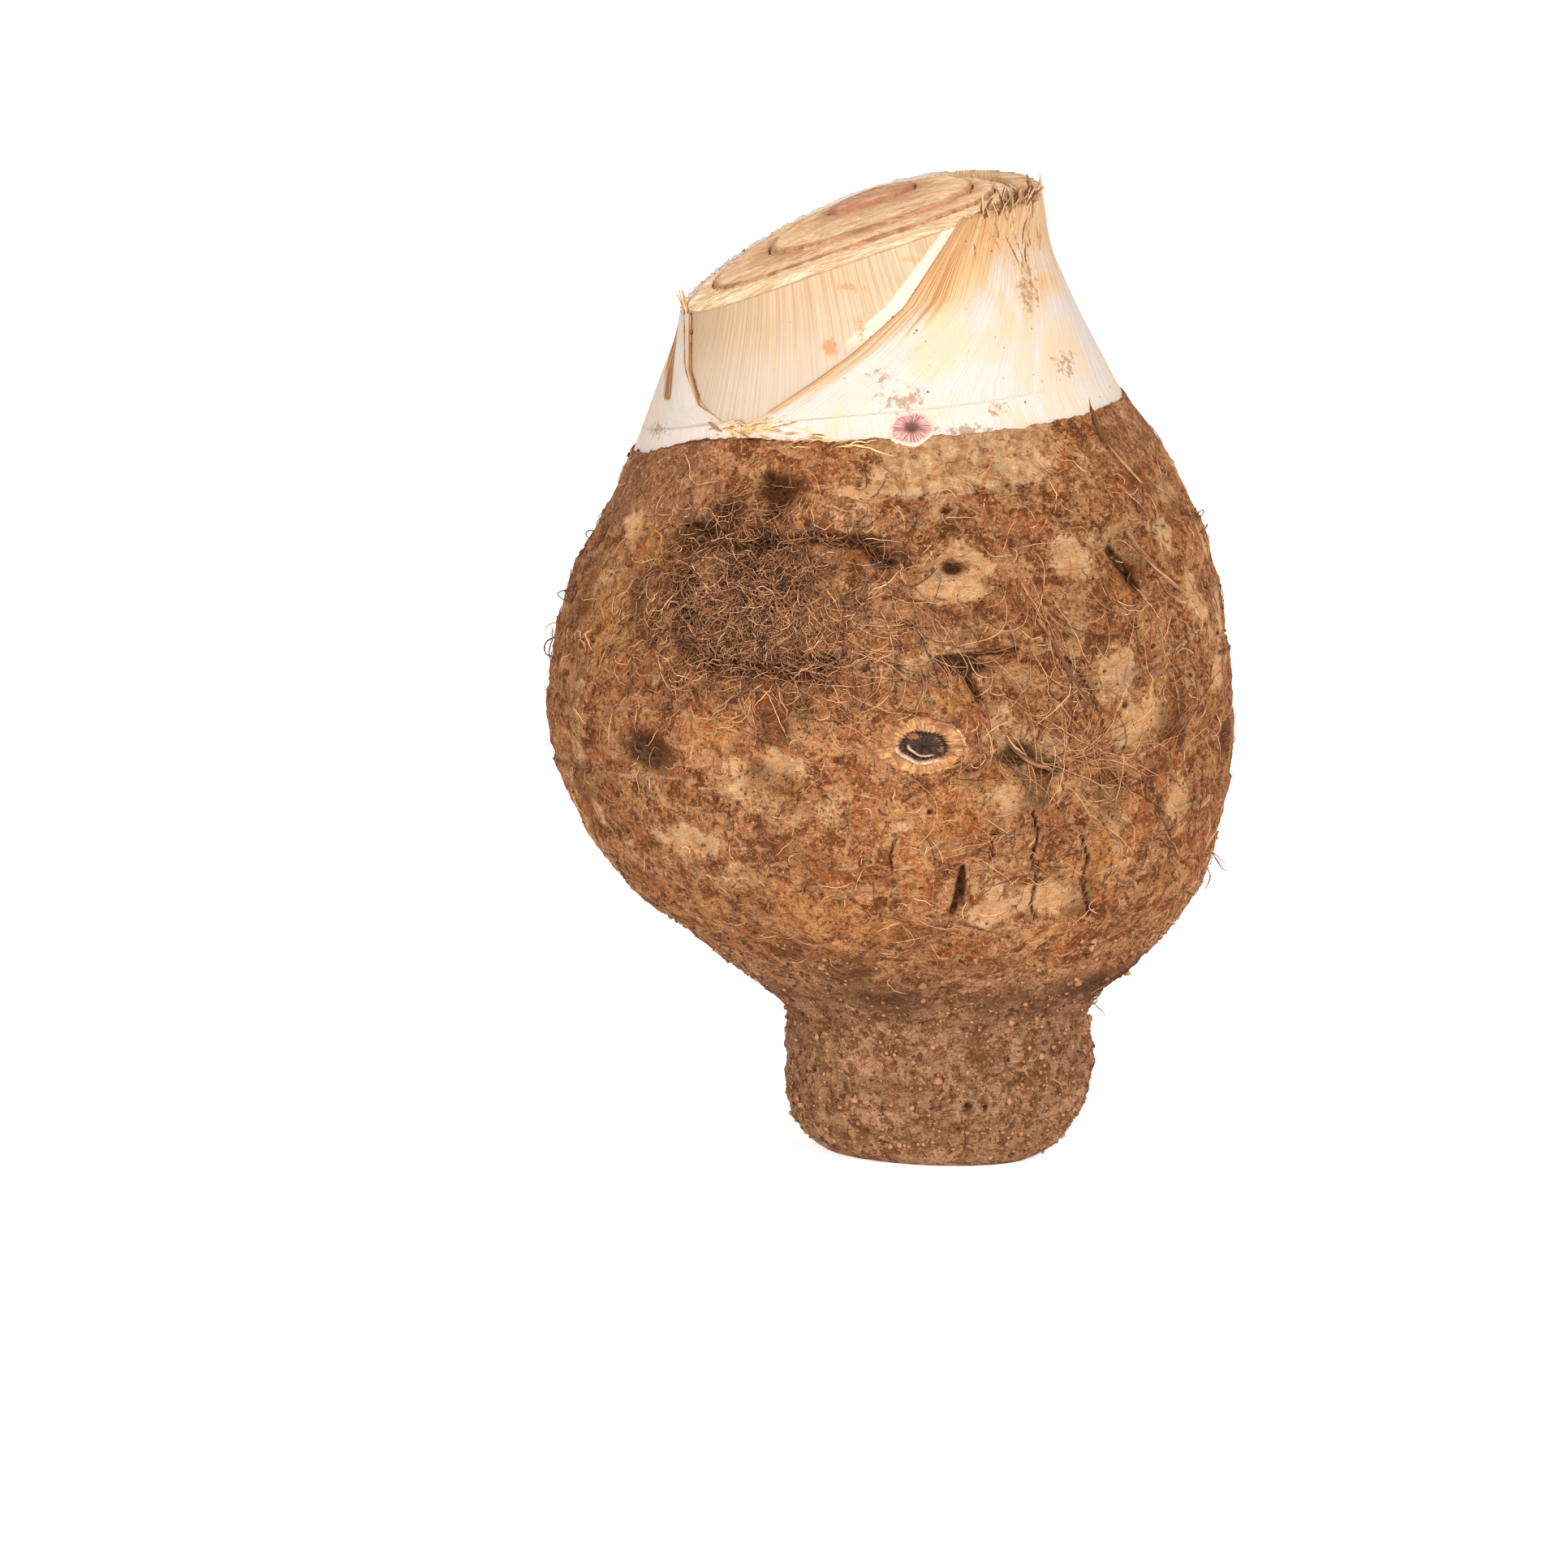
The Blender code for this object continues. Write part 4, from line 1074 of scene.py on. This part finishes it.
STANDING = (  # loose curls that stand off the sides: x, y, z and length
    (-70, -12, 118, 9), (-70, -16, 121, 8), (-71, -8, 112, 6), (-71.5, -6, 105, 12),
    (-71.5, -14, 104, 11), (-64, -10, 133, 4), (63, -8, 134, 6), (64, -12, 132, 6),
    (69, -10, 108, 4), (68, -18, 66, 9), (66.5, -12, 62, 8), (62, -20, 58, 5),
    (40, -12, 34.5, 5), (41, -6, 33, 6), (41, -14, 24, 3), (30, 56, 120, 8),
    (-40, 56, 100, 9), (-20, 62, 84, 8), (60, 34, 76, 8), (-30, -60, 104, 9),
)


def standing_hairs(tree, material, steps=16):
    """A few stray curls that stand away from the skin."""
    rng = np.random.default_rng(22)
    paths = []
    for x, y, z, length in np.repeat(np.array(STANDING), 2, axis=0):
        here, normal = snapped(tree, np.array((x, y, z)) * MM)
        heading = unit(normal + 0.6 * any_heading(1, rng)[0])
        curl = any_heading(1, rng)[0]
        turn = rng.uniform(2.5, 5.0) / steps
        path = [here - normal * 0.0003]
        for _ in range(steps - 1):
            heading = unit(heading + np.cross(curl, heading) * turn + 0.12 * rng.normal(size=3))
            path.append(path[-1] + heading * length * rng.uniform(0.8, 1.2) * MM / steps)
        paths.append(path)
    radii = tapered(steps, rng.uniform(0.00009, 0.00019, len(paths)), 0.3)
    return tubes("hairs_standing", np.array(paths), radii, 4, rng.uniform(0.0, 1.0, len(paths)), material)


ROOTS = (
    ("root_upper", 0.48, ((38.4, 165), (39, 160.6), (40.2, 155.3), (43.6, 150.5), (48.6, 144.6))),
    ("root_side", 0.55, ((45.9, 135), (48.6, 131.4), (51.8, 127.6), (56.9, 122.6))),
    ("root_loop", 0.5, ((28, 119.4), (30.8, 115.4), (33.2, 111.2), (34.6, 108.4), (37.5, 103.6))),
    ("root_low", 0.6, ((21.8, 97), (23.6, 94.2), (26.8, 91.6), (30.2, 90.4))),
)


def thick_root(name, radius, places, tree, material, rng, steps=40, strands=5):
    """A dry root: a few shrunken strands twisted round each other along the CAD root's line."""
    places = np.array(places)
    reach = reach_along(places)
    stops = np.linspace(-0.8, reach[-1] + 1.6, steps)
    past = np.maximum(stops - reach[-1], 0.0)
    x = curve(reach, places[:, 0])(stops) + AXIS[0] + past * 0.6
    z = curve(reach, places[:, 1])(stops) - past * 0.7
    spine = []
    for place in zip(x, z):
        near, normal = snapped(tree, in_front(tree, *place))
        spine.append(near + normal * (radius * 0.8 * MM))
    spine = smoothed(np.array(spine), 3)
    ahead = unit(np.gradient(spine, axis=0))
    side = unit(np.cross(ahead, np.array((0.0, 1.0, 0.0))))
    up = np.cross(side, ahead)
    paths = []
    for strand in range(strands):
        turn = TURN * strand / strands + np.linspace(0.0, 3.0, steps) + 0.4 * rng.normal()
        wide = radius * MM * (0.42 + 0.12 * np.sin(np.linspace(0.0, 9.0, steps) + strand))
        paths.append(spine + (side * np.cos(turn)[:, None] + up * np.sin(turn)[:, None]) * wide[:, None])
    paths = np.array(paths)
    radii = tapered(steps, np.full(strands, 0.52 * radius * MM), 0.25)
    radii *= 1.0 + 0.25 * noise(paths / MM, 1.1, 90)
    return tubes(f"{name}_dry", paths, radii, 8, rng.uniform(0.0, 0.7, strands), material)


def disc(name, tree, centre, across, up, dome, profile, seed, material, rings=26, columns=72):
    """A round patch on the surface: profile gives its height in mm and its masks by distance and angle."""
    share = np.linspace(1.0, 0.02, rings)[:, None]
    angle = (TURN * np.arange(columns) / columns)[None]
    wobble = 1.0 + 0.08 * np.sin(2.0 * angle[0] + seed) + 0.05 * np.sin(5.0 * angle[0] + 2.0 * seed)
    x = centre[0] + across * wobble * np.cos(angle[0])
    z = centre[2] + up * wobble * np.sin(angle[0])
    found = [snapped(tree, in_front(tree, *place)) for place in zip(x, z)]
    rim, normals = (np.array(side) for side in zip(*found))
    facing = np.where(normals[:, 1:2] > 0.0, -1.0, 1.0)
    out = unit((normals * facing).mean(axis=0))
    for _ in range(3):
        rim = 0.5 * rim + 0.25 * (np.roll(rim, 1, axis=0) + np.roll(rim, -1, axis=0))
    centroid = rim.mean(axis=0)
    grid = centroid + (rim - centroid) * share[..., None] + out * (dome * MM * (1.0 - share**2))[..., None]
    share, angle = np.broadcast_arrays(share, angle)
    height, masks = profile(share, angle)
    masks["polar"] = np.stack((angle, share, share * 0.0), axis=-1)
    points = np.concatenate((grid[:1] - out * 0.0008, grid + out * (height * MM)[..., None]))
    spread = {}
    for key, values in masks.items():
        spread[key] = np.concatenate((values[:1], values)).reshape(-1, *values.shape[2:])
    return mesh_object(name, points.reshape(-1, 3), capped(rings + 1, columns), spread, material)


def bud_profile(share, angle):
    """Radial folds that rise to a dimpled middle."""
    folds = 0.1 * np.sin(17.0 * angle + 3.0 * share) * np.sin(math.pi * share)
    height = 0.15 + 0.85 * np.cos(0.5 * math.pi * share) ** 0.7 - 0.45 * bell(share, 0.16) + folds
    return height * step(-share, -1.0, -0.86) + 0.05, {"middle": np.clip(1.0 - share, 0.0, 1.0) ** 2.2}


def eye_profile(share, angle):
    """A tan bed, a ragged hollow in it darkened with painted shade, with pale crescents, and fine rings
    beyond.
    """
    towards_right = step(np.cos(angle), -0.5, 0.3)
    outer = bell(share - 0.86, 0.035) * towards_right
    lower = step(-np.sin(angle + 0.5), -0.1, 0.7)
    ragged = 0.03 * np.sin(31.0 * angle) + 0.02 * np.sin(53.0 * angle + 1.0)
    hollow = step(-share, -0.56 - ragged, -0.4 - ragged)
    first = bell(share - 0.52, 0.05) * lower
    second = bell(share - 0.34 - 0.05 * np.cos(angle), 0.05) * lower
    bud = bell(share, 0.2)
    swirl = 0.3 * np.sin(angle + 11.0 * share) * step(-share, -0.45, -0.1)
    height = 0.3 * outer + 0.3 * step(-share, -0.9, -0.6)
    height += -1.7 * hollow + 1.1 * bud + swirl + 0.9 * first + 0.9 * second
    height += 0.1 * np.sin(23.0 * angle + 9.0 * share)
    # Painted shade: in the hollow, lighter on the raised crescents and bud, and in a thin line inside the rim
    # on the right.
    dark = hollow * (1.0 - 0.9 * np.maximum(first, second)) * (1.0 - 0.25 * bud * np.sin(angle))
    return height * step(-share, -1.0, -0.9), {
        "pale": np.clip(0.9 * first + 0.8 * second + 0.5 * outer, 0.0, 1.0),
        "dark": np.maximum(np.clip(dark, 0.0, 1.0), 0.5 * bell(share - 0.8, 0.03) * towards_right),
        "fade": step(share, 0.82, 1.0),
    }


GOLDEN = (1.0 + 5.0**0.5) / 2.0
LUMP_POINTS = np.array((  # an icosahedron, which each crumb distorts
    (-1, GOLDEN, 0), (1, GOLDEN, 0), (-1, -GOLDEN, 0), (1, -GOLDEN, 0), (0, -1, GOLDEN), (0, 1, GOLDEN),
    (0, -1, -GOLDEN), (0, 1, -GOLDEN), (GOLDEN, 0, -1), (GOLDEN, 0, 1), (-GOLDEN, 0, -1), (-GOLDEN, 0, 1),
)) / math.hypot(1.0, GOLDEN)
LUMP_FACES = np.array((
    (0, 11, 5), (0, 5, 1), (0, 1, 7), (0, 7, 10), (0, 10, 11), (1, 5, 9), (5, 11, 4), (11, 10, 2), (10, 7, 6),
    (7, 1, 8), (3, 9, 4), (3, 4, 2), (3, 2, 6), (3, 6, 8), (3, 8, 9), (4, 9, 5), (2, 4, 11), (6, 2, 10),
    (8, 6, 7), (9, 8, 1),
))


def crumbs(name, tree, places, sizes, material, rng):
    """Small angular lumps sitting on the surface."""
    points, faces = [], []
    for i, (place, size) in enumerate(zip(places, sizes)):
        near, normal = snapped(tree, place)
        lump = LUMP_POINTS * rng.uniform(0.6, 1.3, size=LUMP_POINTS.shape) * size
        lump -= np.outer(lump @ normal, normal) * 0.35
        points.append(near + normal * size * 0.35 + lump)
        faces.append(LUMP_FACES + len(LUMP_POINTS) * i)
    tone = np.repeat(rng.uniform(0.0, 1.0, len(places)), len(LUMP_POINTS))
    return mesh_object(name, np.concatenate(points), np.concatenate(faces), {"tone": tone}, material)


def tuft(tree, material, count=260, steps=12):
    """The torn dark fibres where the outermost leaf was broken off, at the top right."""
    rng = np.random.default_rng(23)
    paths = np.empty((count, steps, 3))
    for i in range(count):
        x = rng.normal(26.5, 3.4)
        z = rng.uniform(187.0, 201.5)
        here, normal = snapped(tree, in_front(tree, np.clip(x, 17.0, 31.8), z))
        heading = np.array((rng.normal(0.05, 0.22), rng.normal(0.05, 0.15), 1.0))
        length = min(rng.uniform(3.0, 9.0), 203.0 + rng.exponential(1.0) - z) * MM
        lift = rng.uniform(0.0001, 0.0007)
        bend = rng.normal(0.0, 0.05, 3)
        for k in range(steps):
            paths[i, k] = here + normal * lift * (0.3 + k / steps)
            heading = unit(heading + bend)
            here = here + heading * length / steps
            near, around = snapped(tree, here)
            if here[2] < (cut_height(here[0] / MM - AXIS[0], here[1] / MM) - 0.5) * MM:
                here, normal = near, around
    paths[..., 2] = np.minimum(paths[..., 2], 0.2062)
    radii = tapered(steps, rng.uniform(0.0001, 0.00032, count), 0.3)
    return tubes("torn_leaf_fibres", paths, radii, 4, rng.uniform(0.0, 1.0, count), material)


def dry_edge(tree, material, rng, steps=26, strands=9):
    """The dried, rolled left edge of the outer leaf base and its curling tip."""
    paths = []
    radii = []
    z_line = np.linspace(157.2, 180.5, steps)
    x_line = np.interp(z_line, *WINDOW_LEFT.T) + AXIS[0]
    curl = np.clip((z_line - 177.0) / 4.0, 0.0, 1.0)[:, None]
    for _ in range(strands):
        path = []
        off = rng.normal(0.0, 0.25)
        for x, z in zip(x_line, z_line):
            near, normal = snapped(tree, in_front(tree, x + off, min(z, 176.5)))
            place = near + normal * rng.uniform(0.00015, 0.0004)
            place[2] = z * MM
            path.append(place)
        path = np.array(path) + curl * np.array((-0.0012 + 0.0004 * rng.normal(), 0.0, 0.0004))
        paths.append(smoothed(path, 2))
        radii.append(rng.uniform(0.00018, 0.00042))
    tone = rng.uniform(0.1, 0.9, strands)
    return tubes("dry_sheath_edge", np.array(paths), tapered(steps, radii, 0.2), 5, tone, material)


def papery_shreds(tree, material, rng, count=120, steps=9):
    """Dry shreds of leaf that lie under the V."""
    paths = []
    for _ in range(count):
        x = rng.uniform(-39.0, -9.0)
        z = 154.3 + rng.normal(0.0, 0.8) + 1.2 * (x < -26.0)
        here, normal = snapped(tree, in_front(tree, x, z))
        heading = np.array((1.0, 0.0, rng.normal(0.0, 0.35)))
        length = rng.uniform(3.0, 11.0) * MM
        path = []
        for k in range(steps):
            arch = 0.0005 * math.sin(math.pi * k / (steps - 1.0)) * rng.uniform(0.3, 1.0)
            path.append(here + normal * (0.0002 + arch))
            here, normal = snapped(tree, here + heading * length / (steps - 1.0))
        paths.append(path)
    radii = tapered(steps, rng.uniform(0.0001, 0.00028, count), 0.3)
    return tubes("papery_shreds", np.array(paths), radii, 4, rng.uniform(0.3, 1.0, count), material)


# ---------------------------------------------------------------- floor, lights and camera

SOFT_LIGHT = 0.55  # brightness of the light all round, and of the floor's own glow
FLOOR_SIDE = 6.0
LIGHTS = (("key", (0.62, -1.2, 0.72), 0.45, 24.0), ("fill", (-1.2, -0.8, 0.6), 0.6, 13.0),
          ("top", (0.1, 0.25, 1.3), 0.8, 3.5))  # name, place, size and power
LIT = (0.0, 0.0, 0.1)
CAMERA = {"place": (0.00117, -1.4854, 0.3088), "target": (-0.0222, 0.0, 0.0774), "lens": 165.7}


def placed_at(name, data, place, target):
    """An object at a place that faces a target."""
    thing = bpy.data.objects.new(name, data)
    thing.location = place
    thing.rotation_euler = (Vector(target) - thing.location).to_track_quat("-Z", "Y").to_euler()
    bpy.context.scene.collection.objects.link(thing)
    return thing


def studio():
    """A plain pale floor, soft light all round with a large key above, and the camera."""
    scene = bpy.context.scene
    scene.world = bpy.data.worlds.new("studio")
    scene.world.use_nodes = True
    backdrop = scene.world.node_tree.nodes["Background"]
    backdrop.inputs["Color"].default_value = (1.0, 1.0, 1.0, 1.0)
    backdrop.inputs["Strength"].default_value = SOFT_LIGHT
    s = Surface("floor_pale", 0.9, 0.1, Emission_Color=(1.0, 1.0, 1.0, 1.0), Emission_Strength=SOFT_LIGHT)
    s.colour = s.blend(s.noise(2.0, 2.0), (0.9, 0.9, 0.9), (0.93, 0.93, 0.93))
    corners = [(x * FLOOR_SIDE, y * FLOOR_SIDE, 0.0) for x, y in ((-1, -1), (1, -1), (1, 1), (-1, 1))]
    mesh_object("floor", corners, ((0, 1, 2, 3),), None, s.finish())
    for name, place, size, power in LIGHTS:
        data = bpy.data.lights.new(name, "AREA")
        data.shape = "DISK"
        data.size = size
        data.energy = power
        placed_at(name, data, place, LIT)
    data = bpy.data.cameras.new("camera")
    data.sensor_width = 36.0
    data.lens = CAMERA["lens"]
    data.clip_start = 0.05
    scene.camera = placed_at("camera", data, CAMERA["place"], CAMERA["target"])
    scene.view_settings.view_transform = "Standard"


def scattered_crumbs(name, tree, growth, sizes, material, rng):
    """Crumbs over the outline: growth is count, lowest, highest; sizes is a draw's shape, scale and least."""
    places = scattered(growth[0], rng, *growth[1:], front_more)
    shape, scale, least = sizes
    return crumbs(name, tree, places, rng.gamma(shape, scale, len(places)) + least, material, rng)


def build():
    """Every piece, each attached to the root's body, with the CAD part that each main piece stands for
    hidden.
    """
    studio()
    skin = corm_skin(skin_material())
    outer = outer_sheath(stalk_material())
    second = leaf_base(1, 380, 90, 40, window_material())
    third = leaf_base(2, 260, 24, 30, flesh_material("flesh_third"))
    fourth = leaf_base(3, 220, 24, 30, flesh_material("flesh_fourth"))
    heart = leaf_base(4, 140, 24, 26, flesh_material("flesh_heart", (0.33, 0.12, 0.055)))
    tree = surface_tree(skin, outer)
    skin_only = surface_tree(skin)
    light = fibre_material("root_hair_tan", (0.36, 0.14, 0.05), (0.82, 0.44, 0.21))
    dark = fibre_material("root_hair_dark", (0.06, 0.02, 0.008), (0.33, 0.14, 0.06))
    hairs = [*all_hairs(skin_only, light, dark), standing_hairs(skin_only, dark)]
    rng = np.random.default_rng(25)
    bark = fibre_material("root_bark", (0.11, 0.038, 0.014), (0.56, 0.28, 0.13), 0.85)
    roots = [thick_root(name, radius, places, tree, bark, rng) for name, radius, places in ROOTS]
    bud = disc("bud_scales", tree, (4.0, -45.5, 156.4), 4.3, 3.4, 0.3, bud_profile, 1.0, bud_material())
    eye = disc("eye_scales", skin_only, EYE, 9.4, 6.6, 0.5, eye_profile, 2.0, eye_material(), 36, 96)
    soil = crumb_material()
    clod = fibre_material("clod", (0.1, 0.034, 0.012), (0.4, 0.175, 0.08), 0.95)
    crumb_pieces = [
        scattered_crumbs("soil_crumbs", skin_only, (1700, 6.0, 152.0), (2.2, 0.0001, 0.00008), soil, rng),
        scattered_crumbs("skin_clods", skin_only, (2600, 2.0, 52.0), (2.4, 0.0001, 0.0001), clod, rng),
        scattered_crumbs("soil_specks", tree, (130, 155.0, 196.0), (2.0, 0.00007, 0.00008), soil, rng),
    ]
    torn = tuft(tree, fibre_material("torn_fibre", (0.12, 0.045, 0.018), (0.62, 0.35, 0.16)))
    dry = fibre_material("dry_sheath", (0.23, 0.095, 0.03), (0.72, 0.43, 0.19))
    rng = np.random.default_rng(24)
    edge = dry_edge(tree, dry, rng)
    papery = papery_shreds(tree, dry, rng)
    slots = {"corm_skin": (skin, eye, *crumb_pieces), "sheath_outer_cream": (outer, torn, edge, papery),
             "second_leaf_flesh": (second,), "third_leaf_flesh": (third,), "fourth_leaf_flesh": (fourth,),
             "heart_leaf_reddish": (heart,), "bud_pink": (bud,), "root_dark": (*hairs, *roots)}
    for slot, pieces in slots.items():
        for piece in pieces:
            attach(piece, "root")
    nodes = ("corm", *LAYER_NAMES, "axillary_bud", *(name for name, _radius, _places in ROOTS))
    for piece, node in zip((skin, outer, second, third, fourth, heart, bud, *roots), nodes):
        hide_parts(node)


build()
